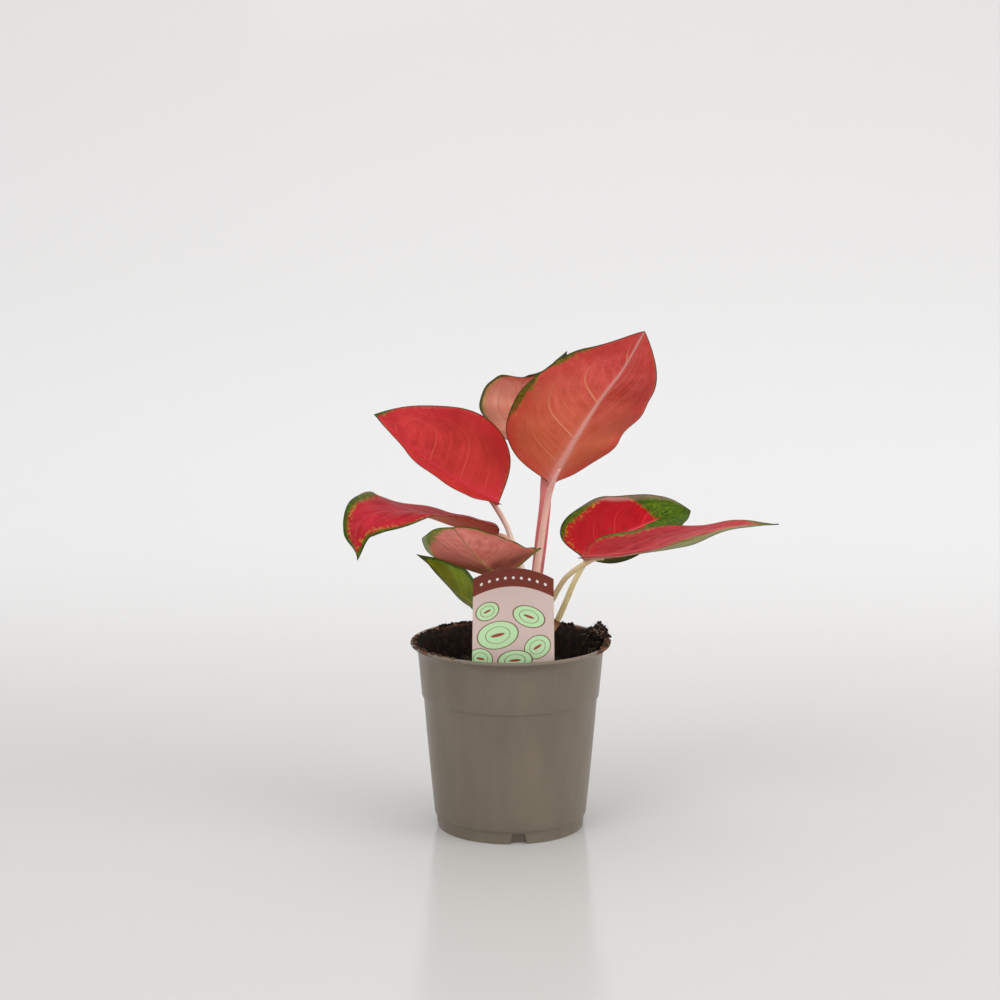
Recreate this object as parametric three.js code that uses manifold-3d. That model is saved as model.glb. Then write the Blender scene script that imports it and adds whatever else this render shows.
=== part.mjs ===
// A chinese evergreen with eight leaves, growing in a plastic nursery pot with a printed tag in the soil.
// Millimetres, Z up. The origin is the middle of the pot's underside, and the tag stands on the -Y side.

import * as THREE from "three";
import { mergeVertices } from "three/addons/utils/BufferGeometryUtils.js";
import Module from "manifold-3d";

const wasm = await Module();
wasm.setup();

// Shared sizes
const GAP = 0.3; // clear space between neighbouring pieces
const NECK_GAP = 0.8; // from a stalk's end to the blade's middle surface
const MERGE = 1e-4; // vertices nearer than this are one vertex
const TURN_SEGMENTS = 48; // facets round the pot and the soil

// Pot: radii and heights of its outside, from the foot up
const POT_HEIGHT = 113;
const RIM_RADIUS = 60;
const WALL = 1.2;
const FOOT_RADIUS = 44.2;
const FOOT_HEIGHT = 6.4;
const BODY_FOOT = { r: 45.9, z: 8.8 };
const STEP_LOW = { r: 52.3, z: 79.6 };
const STEP_HIGH = { r: 53.3, z: 80.8 };
const COLLAR_TOP = { r: 55.6, z: 106.6 };
const FLARE = { r: 57.8, z: 110.2 }; // underside of the rim, which opens like a funnel
const RIM_DROP = 1.2; // height of the rim's outer edge
const RIM_FLAT = 2; // width of the rim's flat top
const RIM_EDGE = 0.5; // bevel of its outer edge
const HUB_RADIUS = 25; // flat middle of the underside
const CHANNEL_HEIGHT = 6.8; // drainage channel between the hub and the foot
const DRAIN_COUNT = 6;
const DRAIN_RADIUS = 3.5;
const DRAIN_CIRCLE = 34.5;
const NOTCH_COUNT = 4; // openings in the foot, one of them at the front, each with a wall behind it
const NOTCH_FOOT_WIDTH = 10.6;
const NOTCH_TOP_WIDTH = 7.2;
const NOTCH_HEIGHT = 6.4;
const NOTCH_DEPTH = 3.8;
const NOTCH_TURN = THREE.MathUtils.degToRad(6);

// Soil: its surface is a low mound with lumps
const SOIL_EDGE_HEIGHT = 91;
const SOIL_MOUND = 7;
const SOIL_LUMP = 1.3;
const SOIL_RINGS = 8;

// Clump of roots and soil that sticks to the rim on the right
const CLUMP_CENTRE = new THREE.Vector3(52.6, 11, 113);
const CLUMP_SIZE = new THREE.Vector3(6.6, 7.5, 6.8);
const CLUMP_LUMP = 0.16;

// Tag: a flat card with an arched top and a pointed stake
const TAG_CENTRE = 1.4;
const TAG_FRONT = -47.2;
const TAG_THICKNESS = 0.8;
const TAG_TOP_WIDTH = 46.4;
const TAG_LOW_WIDTH = 47.8;
const TAG_SHOULDER = 160.2;
const TAG_ARCH = 6.3;
const TAG_WIDE_DOWN_TO = 108;
const TAG_STAKE_TOP = 90;
const TAG_STAKE_WIDTH = 16;
const TAG_STAKE_TIP = 52;

// Crown: the short stem in the soil, with the sheathed feet of the leaf stalks
const CROWN_CENTRE = { x: 11, y: 1 };
const CROWN_FOOT = 62;
const CROWN_TOP = 107;
const CROWN_RADIUS = 6.2;
const SHEATH_EXTRA = 0.7; // how much wider a sheath is than its stalk

// Blades
const BLADE_THICKNESS = 0.9;
const BLADE_STEPS = 16; // along the midrib
const BLADE_SIDE_STEPS = 3; // from the midrib to each margin
const BLADE_NECK = 2; // half width where the blade meets its stalk
const WIDEST = 0.33; // share of the length at which the blade is widest
const BASE_ROUNDNESS = 0.38;
const STALK_SIDES = 8;
const STALK_STEPS = 9;

// Leaves. "rib" runs from the neck to the tip, and "face" is where the upper side looks, from neck to tip.
// "half" is the width of the left and right half, seen from above with the tip ahead, and "point" is larger on
// a leaf with a more drawn-out tip. "fold" lifts each half from the rib and "curl" bends it on towards its
// margin, in degrees from neck to tip. "wave" ripples its margin: height, number of waves and shift.
// "stalk" runs from the crown to the neck. It has radii at its ends, and "flat" is its depth over its width.
const LEAVES = {
  tall: {
    rib: [[24, -4, 209], [37, -16, 236], [51, -27, 261], [64, -40, 281], [75, -56, 304]],
    face: [[0, 0.9, 0.3], [0.1, 0.75, 0.6], [0.1, 0.6, 0.8]],
    half: [42, 42],
    point: 0.9,
    fold: [[54, 39, 23, 8, 12], [24, 12, 12, 22, 20]],
    curl: [[-8, 12, 8], [0, 0]],
    wave: [[0.5, 3, 0.2], [0.8, 2.5, 0.5]],
    stalk: [[12.5, -0.5, 102], [13.5, -1.5, 128], [15.3, -1.5, 153], [18.2, -1.5, 174], [22.2, -3.2, 200]],
    radius: [2.1, 1.9],
    flat: 1,
    sheath: 28,
    colour: 0xc8503f,
  },
  tall_back: {
    rib: [[22, 13, 207], [15, 20, 232], [14, 20, 256], [23, 12, 276], [33, 0, 287]],
    face: [[0, 0.9, 0.3], [0, 0.9, 0.4], [0, 0.8, 0.6]],
    half: [30, 37],
    point: 1.0,
    fold: [[20, 22, 23, 22, 20], [84, 77, 62, 31, 8, -10, -45, -72, -80]],
    curl: [[15, 15, 10], [18, 18, 0]],
    wave: [[1, 2.5, 0], [1, 2.5, 0.3]],
    stalk: [[11.5, 3, 102], [12.8, 5, 128], [15.9, 5.2, 152], [18.6, 5.6, 176], [20.9, 9, 198]],
    radius: [3.3, 3.6],
    flat: 0.4,
    sheath: 28,
    colour: 0xd67864,
  },
  upper_left: {
    rib: [[-7, 3, 196], [-28, 0, 207.5], [-46, -5, 220.5], [-63.5, -13, 236.5], [-79, -26, 253]],
    face: [[0.2, -0.7, 0.7], [0.2, -0.7, 0.7], [0.2, -0.7, 0.7]],
    half: [30, 45],
    point: 0.92,
    fold: [[52, 44, 40, 32, 24], [10, 17, 14, 15, 16]],
    curl: [[0, 0], [0, 0]],
    wave: [[0.3, 2.5, 0], [0.5, 2, 0.15]],
    stalk: [[9, 0.5, 102], [8.6, 0.5, 130], [7.2, 0.5, 154], [0.6, 1.6, 174], [-3.4, 2, 184.5]],
    radius: [2, 1.6],
    flat: 1,
    sheath: 30,
    colour: 0xc82f41,
  },
  left: {
    rib: [[-7, -12, 181], [-30, -12, 185], [-49, -17, 192], [-66, -29, 197], [-81, -43, 197], [-89, -50, 188],
      [-88, -52, 172]],
    face: [[0, -0.05, 1], [-0.1, -0.3, 0.95], [-0.35, -0.6, 0.7], [-0.5, -0.8, 0.1]],
    half: [33, 33],
    point: 0.92,
    fold: [[22, 32, 20, -10, -40], [0, -6, -10, -10, -8, -2, 4, -8, -50]],
    curl: [[0, 0], [0, 0]],
    wave: [[0.6, 2, 0], [1.8, 1.7, 0.23]],
    stalk: [[8, -1.5, 102], [4.5, -2.5, 126], [1.8, -3, 144], [-0.4, -6, 162], [-2.2, -10.6, 176.5]],
    radius: [1.9, 1.7],
    flat: 1,
    sheath: 28,
    colour: 0xc83c50,
  },
  front_left: {
    rib: [[-6, -24, 155], [-14, -42, 167], [-22, -59, 179], [-28, -76, 190], [-32, -95, 199]],
    face: [[0.1, 0.6, 0.8], [0.1, 0.45, 0.9], [0.1, 0.2, 1]],
    half: [34, 37],
    point: 0.9,
    fold: [[34, 26, 18, 10, 3, 6, 12, 19, 26], [19, 13, 11, 6, 6]],
    curl: [[0, 0], [0, 0]],
    wave: [[1, 2, 0.2], [0.8, 2.5, 0]],
    stalk: [[9, -3.5, 102], [4.5, -7.5, 124], [0.9, -11, 138], [-3.4, -17, 148]],
    radius: [1.9, 1.7],
    flat: 1,
    sheath: 24,
    colour: 0xbe695a,
  },
  low_left: {
    rib: [[-15, -13, 133], [-27, -16, 142], [-38, -19, 153], [-47, -21, 163], [-55, -22, 170]],
    face: [[0.3, -0.5, 0.8], [0.3, -0.5, 0.8], [0.3, -0.5, 0.8]],
    half: [16, 20],
    point: 1.2,
    fold: [[30, 32, 31, 30, 45], [6, -2, 3, 13, 18]],
    curl: [[0, 0], [8, 1]],
    wave: [[0.5, 2, 0], [0.5, 2, 0.5]],
    stalk: [[7, -2, 102], [0.5, -4.5, 114], [-4.5, -9.5, 124.5], [-9.5, -13, 130.6]],
    radius: [1.5, 1.3],
    flat: 1,
    sheath: 20,
    colour: 0x4d6b1c,
  },
  right_back: {
    rib: [[44, 8, 162], [60, 24, 169], [80, 41, 175], [98, 56, 179], [113, 70, 180]],
    face: [[-0.2, -0.4, 0.85], [-0.2, -0.4, 0.85], [-0.2, -0.4, 0.85]],
    half: [31, 30],
    point: 0.9,
    fold: [[15, 23, 23, 42, 60], [2, 6, 4, 0, -12]],
    curl: [[7, 7, 4], [0, 0]],
    wave: [[1.2, 2.5, 0.1], [1.2, 2.5, 0.4]],
    stalk: [[13, 2.5, 102], [19, 5.5, 111], [27.6, 8, 122.5], [33.5, 8, 135.5], [38.9, 8, 148.4]],
    radius: [1.9, 1.6],
    flat: 1,
    sheath: 27,
    colour: 0xcd192d,
  },
  right_front: {
    rib: [[43, -14, 166], [61, -20, 169], [81, -26, 174], [104, -35, 183], [129, -47, 191], [152, -62, 195]],
    face: [[0, -0.35, 0.94], [0, -0.35, 0.94], [0, -0.3, 0.94]],
    half: [30, 29],
    point: 1.4,
    fold: [[3, -2, -13, -8, 6], [30, 27, 16, 8, 18]],
    curl: [[0, 0], [0, 0]],
    wave: [[1, 2.5, 0.275], [1.4, 3, 0]],
    stalk: [[13.5, 0, 102], [18, 0, 118], [21.5, -1.5, 131], [26, -4.5, 141], [33.8, -9.5, 154.3]],
    radius: [1.9, 1.6],
    flat: 1,
    sheath: 28,
    colour: 0xcd3c50,
  },
};

const STALK_COLOURS = {
  tall: 0xe1a591,
  tall_back: 0xd27a78,
  upper_left: 0xf0cdbe,
  left: 0xe3b5a5,
  front_left: 0xd5ae8c,
  low_left: 0xb8a878,
  right_back: 0xc8b46e,
  right_front: 0xccb27a,
};

// Turns a closed three.js geometry into a solid that can be joined and cut.
function solidOf(geometry) {
  const bare = geometry.clone();
  bare.deleteAttribute("normal");
  bare.deleteAttribute("uv");
  const merged = mergeVertices(bare, MERGE);
  const mesh = new wasm.Mesh({
    numProp: 3,
    vertProperties: merged.attributes.position.array,
    triVerts: new Uint32Array(merged.index.array),
  });
  return new wasm.Manifold(mesh);
}

function geometryOf(solid) {
  const mesh = solid.getMesh();
  const geometry = new THREE.BufferGeometry();
  geometry.setAttribute("position", new THREE.BufferAttribute(mesh.vertProperties, 3));
  geometry.setIndex(new THREE.BufferAttribute(mesh.triVerts, 1));
  geometry.computeVertexNormals();
  return geometry;
}

// Revolves a profile of { r, z } points about the Z axis.
function turned(profile, segments = TURN_SEGMENTS) {
  const points = profile.map(({ r, z }) => new THREE.Vector2(r, z));
  return new THREE.LatheGeometry(points, segments).rotateX(Math.PI / 2);
}

function smoothstep(share) {
  const s = THREE.MathUtils.clamp(share, 0, 1);
  return s * s * (3 - 2 * s);
}

// Eases from one entry of a list of numbers to the next, as share goes from 0 to 1.
function easedNumber(values, share) {
  const place = THREE.MathUtils.clamp(share, 0, 1) * (values.length - 1);
  const i = Math.min(Math.floor(place), values.length - 2);
  return THREE.MathUtils.lerp(values[i], values[i + 1], smoothstep(place - i));
}

function easedVector(vectors, share) {
  const along = [0, 1, 2].map((axis) => easedNumber(vectors.map((v) => v[axis]), share));
  return new THREE.Vector3(...along);
}

// A smooth path through points, read by distance. It runs straight on past either end.
class Path {
  constructor(points) {
    const vectors = points.map((p) => new THREE.Vector3(...p));
    this.curve = new THREE.CatmullRomCurve3(vectors, false, "catmullrom", 0.5);
    this.curve.arcLengthDivisions = 400;
    this.length = this.curve.getLength();
  }

  at(distance) {
    const share = THREE.MathUtils.clamp(distance / this.length, 0, 1);
    const tangent = this.curve.getTangentAt(share);
    const point = this.curve.getPointAt(share);
    point.addScaledVector(tangent, distance - share * this.length);
    return { point, tangent };
  }
}

// Pot

function innerWallRadius(z) {
  const [low, high] = z < STEP_LOW.z ? [BODY_FOOT, STEP_LOW] : [STEP_HIGH, COLLAR_TOP];
  return THREE.MathUtils.mapLinear(z, low.z, high.z, low.r, high.r) - WALL;
}

// A block with the shape of a notch and "grow" more on each side, from one radius out to another.
function notchWedge(grow, bottom, top, inner, outer, turn) {
  const width = (z) => THREE.MathUtils.mapLinear(z, 0, NOTCH_HEIGHT, NOTCH_FOOT_WIDTH, NOTCH_TOP_WIDTH);
  const half = (z) => width(z) / 2 + grow;
  const shape = new THREE.Shape();
  shape.moveTo(-half(bottom), bottom);
  shape.lineTo(half(bottom), bottom);
  shape.lineTo(half(top), top);
  shape.lineTo(-half(top), top);
  shape.closePath();
  const wedge = new THREE.ExtrudeGeometry(shape, { depth: outer - inner, bevelEnabled: false });
  return solidOf(wedge.rotateX(Math.PI / 2).translate(0, -inner, 0).rotateZ(turn));
}

function makePot() {
  const floor = CHANNEL_HEIGHT + WALL;
  const channelInner = HUB_RADIUS + WALL;
  const channelOuter = FOOT_RADIUS - WALL;
  const rimInner = RIM_RADIUS - RIM_EDGE - RIM_FLAT;
  const body = turned([
    { r: 0, z: 0 },
    { r: HUB_RADIUS, z: 0 },
    { r: channelInner, z: CHANNEL_HEIGHT },
    { r: channelOuter, z: CHANNEL_HEIGHT },
    { r: channelOuter, z: 0 },
    { r: FOOT_RADIUS, z: 0 },
    { r: FOOT_RADIUS + 0.3, z: FOOT_HEIGHT },
    BODY_FOOT,
    STEP_LOW,
    STEP_HIGH,
    COLLAR_TOP,
    FLARE,
    { r: RIM_RADIUS, z: POT_HEIGHT - RIM_DROP },
    { r: RIM_RADIUS, z: POT_HEIGHT - RIM_EDGE },
    { r: RIM_RADIUS - RIM_EDGE, z: POT_HEIGHT },
    { r: rimInner, z: POT_HEIGHT },
    { r: FLARE.r - WALL, z: FLARE.z + 1.2 },
    { r: COLLAR_TOP.r - WALL, z: COLLAR_TOP.z + 0.6 },
    { r: STEP_HIGH.r - WALL, z: STEP_HIGH.z + 0.6 },
    { r: STEP_LOW.r - WALL, z: STEP_LOW.z + 0.6 },
    { r: BODY_FOOT.r - WALL + 0.1, z: BODY_FOOT.z + 1.4 },
    { r: FOOT_RADIUS - 0.4, z: floor },
    { r: channelInner - 0.2, z: floor },
    { r: HUB_RADIUS - 1.2, z: WALL },
    { r: 0, z: WALL },
  ]);
  let pot = solidOf(body);
  for (let i = 0; i < DRAIN_COUNT; i++) {
    const angle = (i / DRAIN_COUNT) * 2 * Math.PI;
    const drain = new THREE.CylinderGeometry(DRAIN_RADIUS, DRAIN_RADIUS, 4 * WALL, 12);
    drain.rotateX(Math.PI / 2);
    drain.translate(DRAIN_CIRCLE * Math.cos(angle), DRAIN_CIRCLE * Math.sin(angle), floor);
    pot = pot.subtract(solidOf(drain));
  }
  for (let i = 0; i < NOTCH_COUNT; i++) {
    const turn = NOTCH_TURN + (i / NOTCH_COUNT) * 2 * Math.PI;
    const back = FOOT_RADIUS - NOTCH_DEPTH;
    const housing = notchWedge(WALL, 0, NOTCH_HEIGHT + WALL, back - WALL, FOOT_RADIUS - WALL / 2, turn);
    pot = pot.add(housing).subtract(notchWedge(0, -WALL, NOTCH_HEIGHT, back, FOOT_RADIUS + WALL, turn));
  }
  return geometryOf(pot);
}

// Soil

function soilHeight(x, y) {
  const edge = innerWallRadius(SOIL_EDGE_HEIGHT) - GAP;
  const out = Math.min(Math.hypot(x, y) / edge, 1);
  const lumps = Math.sin(x * 0.31 + 1.7) * Math.cos(y * 0.27) + 0.6 * Math.sin(x * 0.17 - y * 0.43);
  return SOIL_EDGE_HEIGHT + SOIL_MOUND * (1 - out * out) + SOIL_LUMP * lumps * (1 - out ** 6);
}

function makeSoil(tagSlot) {
  const floor = CHANNEL_HEIGHT + WALL + GAP;
  const edge = innerWallRadius(SOIL_EDGE_HEIGHT) - GAP;
  const profile = [
    { r: 0, z: WALL + GAP },
    { r: HUB_RADIUS - 1.6, z: WALL + GAP },
    { r: HUB_RADIUS + 0.6, z: floor },
    { r: FOOT_RADIUS - 1, z: floor },
    { r: BODY_FOOT.r - WALL - GAP, z: BODY_FOOT.z + 1.8 },
    { r: STEP_LOW.r - WALL - GAP, z: STEP_LOW.z + 0.9 },
    { r: STEP_HIGH.r - WALL - GAP, z: STEP_HIGH.z + 1.2 },
  ];
  for (let ring = 0; ring <= SOIL_RINGS; ring++) {
    profile.push({ r: edge * (1 - ring / SOIL_RINGS), z: SOIL_EDGE_HEIGHT });
  }
  const body = turned(profile);
  const place = body.attributes.position;
  for (let i = 0; i < place.count; i++) {
    if (place.getZ(i) > SOIL_EDGE_HEIGHT - 0.01) place.setZ(i, soilHeight(place.getX(i), place.getY(i)));
  }
  const depth = CROWN_TOP - CROWN_FOOT + 2 * GAP;
  const stemHole = new THREE.CylinderGeometry(CROWN_RADIUS + GAP, CROWN_RADIUS + GAP, depth, 16);
  stemHole.rotateX(Math.PI / 2);
  stemHole.translate(CROWN_CENTRE.x, CROWN_CENTRE.y, CROWN_FOOT - GAP + depth / 2);
  return geometryOf(solidOf(body).subtract(solidOf(stemHole)).subtract(solidOf(tagSlot)));
}

// A lumpy ball that is cut back to rest on the rim and against the wall inside it.
function makeRimClump() {
  const ball = new THREE.IcosahedronGeometry(1, 3);
  const place = ball.attributes.position;
  const point = new THREE.Vector3();
  for (let i = 0; i < place.count; i++) {
    point.fromBufferAttribute(place, i);
    const lump = Math.sin(5 * point.x + 1) * Math.sin(6 * point.y) + Math.sin(7 * point.z + 2 * point.x);
    point.multiplyScalar(1 + CLUMP_LUMP * lump).multiply(CLUMP_SIZE).add(CLUMP_CENTRE);
    place.setXYZ(i, point.x, point.y, point.z);
  }
  const rimInner = RIM_RADIUS - RIM_EDGE - RIM_FLAT;
  const rim = turned([
    { r: innerWallRadius(100) - GAP, z: 100 },
    { r: RIM_RADIUS + 3, z: 100 },
    { r: RIM_RADIUS + 3, z: POT_HEIGHT + GAP },
    { r: rimInner - 0.1, z: POT_HEIGHT + GAP },
    { r: FLARE.r - WALL - GAP, z: FLARE.z + 1.4 },
    { r: COLLAR_TOP.r - WALL - GAP, z: COLLAR_TOP.z + 0.7 },
    { r: innerWallRadius(100) - GAP, z: 100 },
  ]);
  return geometryOf(solidOf(ball).subtract(solidOf(rim)));
}

// Tag

function makeTag(grow) {
  const half = (width) => width / 2 + grow;
  const shape = new THREE.Shape();
  shape.moveTo(0, TAG_STAKE_TIP - 3 * grow);
  shape.lineTo(half(TAG_STAKE_WIDTH), TAG_STAKE_TIP + TAG_STAKE_WIDTH);
  shape.lineTo(half(TAG_STAKE_WIDTH), TAG_STAKE_TOP - grow);
  shape.lineTo(half(TAG_LOW_WIDTH), TAG_WIDE_DOWN_TO);
  shape.lineTo(half(TAG_TOP_WIDTH), TAG_SHOULDER);
  shape.quadraticCurveTo(0, TAG_SHOULDER + 2 * TAG_ARCH, -half(TAG_TOP_WIDTH), TAG_SHOULDER);
  shape.lineTo(-half(TAG_LOW_WIDTH), TAG_WIDE_DOWN_TO);
  shape.lineTo(-half(TAG_STAKE_WIDTH), TAG_STAKE_TOP - grow);
  shape.lineTo(-half(TAG_STAKE_WIDTH), TAG_STAKE_TIP + TAG_STAKE_WIDTH);
  shape.closePath();
  const depth = TAG_THICKNESS + 2 * grow;
  const card = new THREE.ExtrudeGeometry(shape, { depth, bevelEnabled: false, curveSegments: 16 });
  return card.rotateX(Math.PI / 2).translate(TAG_CENTRE, TAG_FRONT + TAG_THICKNESS + grow, 0);
}

// Stalks and crown

// A closed tube along part of a path, with a radius at each end. "flat" is its depth over its width.
function tube(path, from, to, radii, flat, sides = STALK_SIDES, steps = STALK_STEPS) {
  const front = new THREE.Vector3(0, -1, 0);
  const vertices = [];
  const faces = [];
  for (let k = 0; k <= steps; k++) {
    const { point, tangent } = path.at(THREE.MathUtils.lerp(from, to, k / steps));
    const side = tangent.clone().cross(front).normalize();
    const back = tangent.clone().cross(side);
    const radius = THREE.MathUtils.lerp(radii[0], radii[1], k / steps);
    for (let s = 0; s < sides; s++) {
      const angle = (s / sides) * 2 * Math.PI;
      const edge = point.clone().addScaledVector(side, radius * Math.cos(angle));
      vertices.push(edge.addScaledVector(back, radius * flat * Math.sin(angle)));
    }
  }
  for (let k = 0; k < steps; k++) {
    for (let s = 0; s < sides; s++) {
      const a = k * sides + s;
      const b = k * sides + ((s + 1) % sides);
      faces.push([a, b, b + sides], [a, b + sides, a + sides]);
    }
  }
  const foot = vertices.push(path.at(from).point) - 1;
  const head = vertices.push(path.at(to).point) - 1;
  for (let s = 0; s < sides; s++) {
    const next = (s + 1) % sides;
    faces.push([foot, next, s], [head, steps * sides + s, steps * sides + next]);
  }
  return meshGeometry(vertices, faces);
}

function meshGeometry(vertices, faces) {
  const geometry = new THREE.BufferGeometry().setFromPoints(vertices);
  geometry.setIndex(faces.flat());
  geometry.computeVertexNormals();
  return geometry;
}

function stalkPath(leaf) {
  return new Path([...leaf.stalk, leaf.rib[0]]);
}

function makeStalk(leaf) {
  const path = stalkPath(leaf);
  return tube(path, leaf.sheath + GAP, path.length - NECK_GAP, leaf.radius, leaf.flat);
}

function makeCrown() {
  const { x, y } = CROWN_CENTRE;
  const stem = new Path([[x, y, CROWN_FOOT], [x, y, (CROWN_FOOT + CROWN_TOP) / 2], [x, y, CROWN_TOP]]);
  let crown = solidOf(tube(stem, 0, stem.length, [CROWN_RADIUS - 1, CROWN_RADIUS], 1, 12, 4));
  for (const leaf of Object.values(LEAVES)) {
    const radii = [leaf.radius[0] + 2 * SHEATH_EXTRA, leaf.radius[0] + SHEATH_EXTRA];
    crown = crown.add(solidOf(tube(stalkPath(leaf), 0, leaf.sheath, radii, leaf.flat, 8, 5)));
  }
  return geometryOf(crown);
}

// Blades

// Width of a half blade over its greatest width, at a share of the length from neck to tip.
function outline(share, point) {
  const bulge = Math.sin(Math.PI * THREE.MathUtils.clamp(share, 0, 1) ** (Math.log(0.5) / Math.log(WIDEST)));
  const roundness = THREE.MathUtils.lerp(BASE_ROUNDNESS, point, smoothstep((share - 0.15) / 0.3));
  return Math.max(bulge, 0) ** roundness;
}

// A point of the blade's middle surface. u runs from neck to tip along a vein line that starts on the rib,
// and v from the right margin (-1) over the rib (0) to the left one (1).
function bladePoint(leaf, path, u, v) {
  const length = path.length;
  const hand = v < 0 ? 1 : 0;
  const out = Math.abs(v);
  const half = leaf.half[hand];
  const share = (1 - Math.cos(Math.PI * u)) / 2;
  const marginAlong = length * share;
  const ribAlong = length * u ** 1.4;
  const along = THREE.MathUtils.lerp(ribAlong, marginAlong, out ** 1.3);
  const across = Math.max(outline(share, leaf.point) * half, BLADE_NECK * (1 - u)) * out;
  const { point, tangent } = path.at(along);
  const place = along / length;
  const up = easedVector(leaf.face, place);
  up.addScaledVector(tangent, -up.dot(tangent)).normalize();
  const side = up.clone().cross(tangent).multiplyScalar(v < 0 ? -1 : 1);
  const fold = THREE.MathUtils.degToRad(easedNumber(leaf.fold[hand], place));
  const curl = THREE.MathUtils.degToRad(easedNumber(leaf.curl[hand], place)) || 1e-3;
  const angle = fold + (curl * across) / half;
  const [rise, waves, shift] = leaf.wave[hand];
  const ripple = rise * out ** 2 * Math.sin(Math.PI * place) * Math.sin(2 * Math.PI * (waves * place + shift));
  point.addScaledVector(side, (half / curl) * (Math.sin(angle) - Math.sin(fold)));
  return point.addScaledVector(up, (half / curl) * (Math.cos(fold) - Math.cos(angle)) + ripple);
}

// Gives the middle surface its thickness. Both faces are split into the same triangles.
function makeBlade(leaf) {
  const path = new Path(leaf.rib);
  const columns = 2 * BLADE_SIDE_STEPS;
  const width = columns + 1;
  const middle = [];
  for (let i = 0; i < BLADE_STEPS; i++) {
    for (let j = 0; j <= columns; j++) {
      middle.push(bladePoint(leaf, path, i / BLADE_STEPS, j / BLADE_SIDE_STEPS - 1));
    }
  }
  const tip = middle.push(path.at(path.length).point) - 1;
  const at = (i, j) => (i < BLADE_STEPS ? i * width + j : tip);
  const upper = [];
  for (let i = 0; i < BLADE_STEPS; i++) {
    for (let j = 0; j < columns; j++) {
      if (i < BLADE_STEPS - 1) upper.push([at(i, j), at(i + 1, j), at(i + 1, j + 1)]);
      upper.push([at(i, j), at(i + 1, j + 1), at(i, j + 1)]);
    }
  }
  const normals = meshGeometry(middle, upper).attributes.normal;
  const offset = (sign) => (point, i) => {
    const normal = new THREE.Vector3().fromBufferAttribute(normals, i);
    return point.clone().addScaledVector(normal, (sign * BLADE_THICKNESS) / 2);
  };
  const count = middle.length;
  const vertices = [...middle.map(offset(1)), ...middle.map(offset(-1))];
  const faces = [...upper, ...upper.map(([a, b, c]) => [count + a, count + c, count + b])];
  const rim = [];
  for (let i = 0; i < BLADE_STEPS; i++) rim.push(at(i, 0));
  for (let i = BLADE_STEPS; i >= 0; i--) rim.push(at(i, columns));
  for (let j = columns - 1; j > 0; j--) rim.push(at(0, j));
  rim.forEach((p, i) => {
    const q = rim[(i + 1) % rim.length];
    faces.push([q, p, count + p], [q, count + p, count + q]);
  });
  return meshGeometry(vertices, faces);
}

// Assembly

const plant = new THREE.Group();

function addPiece(name, geometry, color, roughness) {
  const piece = new THREE.Mesh(geometry, new THREE.MeshStandardMaterial({ color, roughness, metalness: 0 }));
  piece.name = name;
  plant.add(piece);
}

addPiece("pot", makePot(), 0x73685a, 0.55);
addPiece("soil", makeSoil(makeTag(GAP)), 0x1f1813, 0.95);
addPiece("rim_clump", makeRimClump(), 0x2a1f18, 0.95);
addPiece("tag", makeTag(0), 0xccb6ac, 0.5);
addPiece("crown", makeCrown(), 0xc09878, 0.5);
for (const [name, leaf] of Object.entries(LEAVES)) {
  addPiece(`stalk_${name}`, makeStalk(leaf), STALK_COLOURS[name], 0.45);
  addPiece(`blade_${name}`, makeBlade(leaf), leaf.colour, 0.4);
}

export default plant;
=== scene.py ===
"""Looks of a potted chinese evergreen: fine leaves, stalks, sheaths, pot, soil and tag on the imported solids.

Blender works in metres. The plant's and the pot's lengths are written in millimetres and scaled by MM where
a mesh is made. The camera, the stage and the inputs of the recipes are in metres.
"""

import math
import random

import bmesh
import bpy
import numpy as np
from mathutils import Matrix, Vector, noise


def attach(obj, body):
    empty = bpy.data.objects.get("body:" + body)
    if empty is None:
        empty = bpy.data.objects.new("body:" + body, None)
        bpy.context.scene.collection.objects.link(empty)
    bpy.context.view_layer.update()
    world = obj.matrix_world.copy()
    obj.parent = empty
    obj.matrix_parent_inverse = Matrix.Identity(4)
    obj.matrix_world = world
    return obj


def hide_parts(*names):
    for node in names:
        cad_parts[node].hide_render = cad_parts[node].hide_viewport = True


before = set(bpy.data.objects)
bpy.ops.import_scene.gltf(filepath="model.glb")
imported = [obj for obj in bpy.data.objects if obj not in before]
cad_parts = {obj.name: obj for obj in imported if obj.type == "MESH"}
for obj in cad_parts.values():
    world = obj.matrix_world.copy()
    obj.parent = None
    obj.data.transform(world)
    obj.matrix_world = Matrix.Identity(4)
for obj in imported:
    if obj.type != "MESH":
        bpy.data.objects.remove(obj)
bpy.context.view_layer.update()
MM = 0.001


# Camera: fitted to the ellipses of the pot's rim and foot, in metres and degrees

CAMERA_PLACE = (-0.0063, -1.335, 0.421)
CAMERA_DOWN = 9.465
SENSOR_WIDTH = 36
LENS = 82.04

camera_data = bpy.data.cameras.new("camera")
camera_data.sensor_width = SENSOR_WIDTH
camera_data.lens = LENS
camera = bpy.data.objects.new("camera", camera_data)
camera.location = CAMERA_PLACE
camera.rotation_euler = (math.radians(90 - CAMERA_DOWN), 0, 0)
bpy.context.collection.objects.link(camera)
bpy.context.scene.camera = camera


# Words for building node trees


def rgb(red, green, blue):
    """A colour given as it looks on a screen, 0 to 255, turned into light."""
    shares = [c / 255 for c in (red, green, blue)]
    return [(c / 12.92 if c < 0.04 else ((c + 0.055) / 1.055) ** 2.4) for c in shares] + [1]


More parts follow.
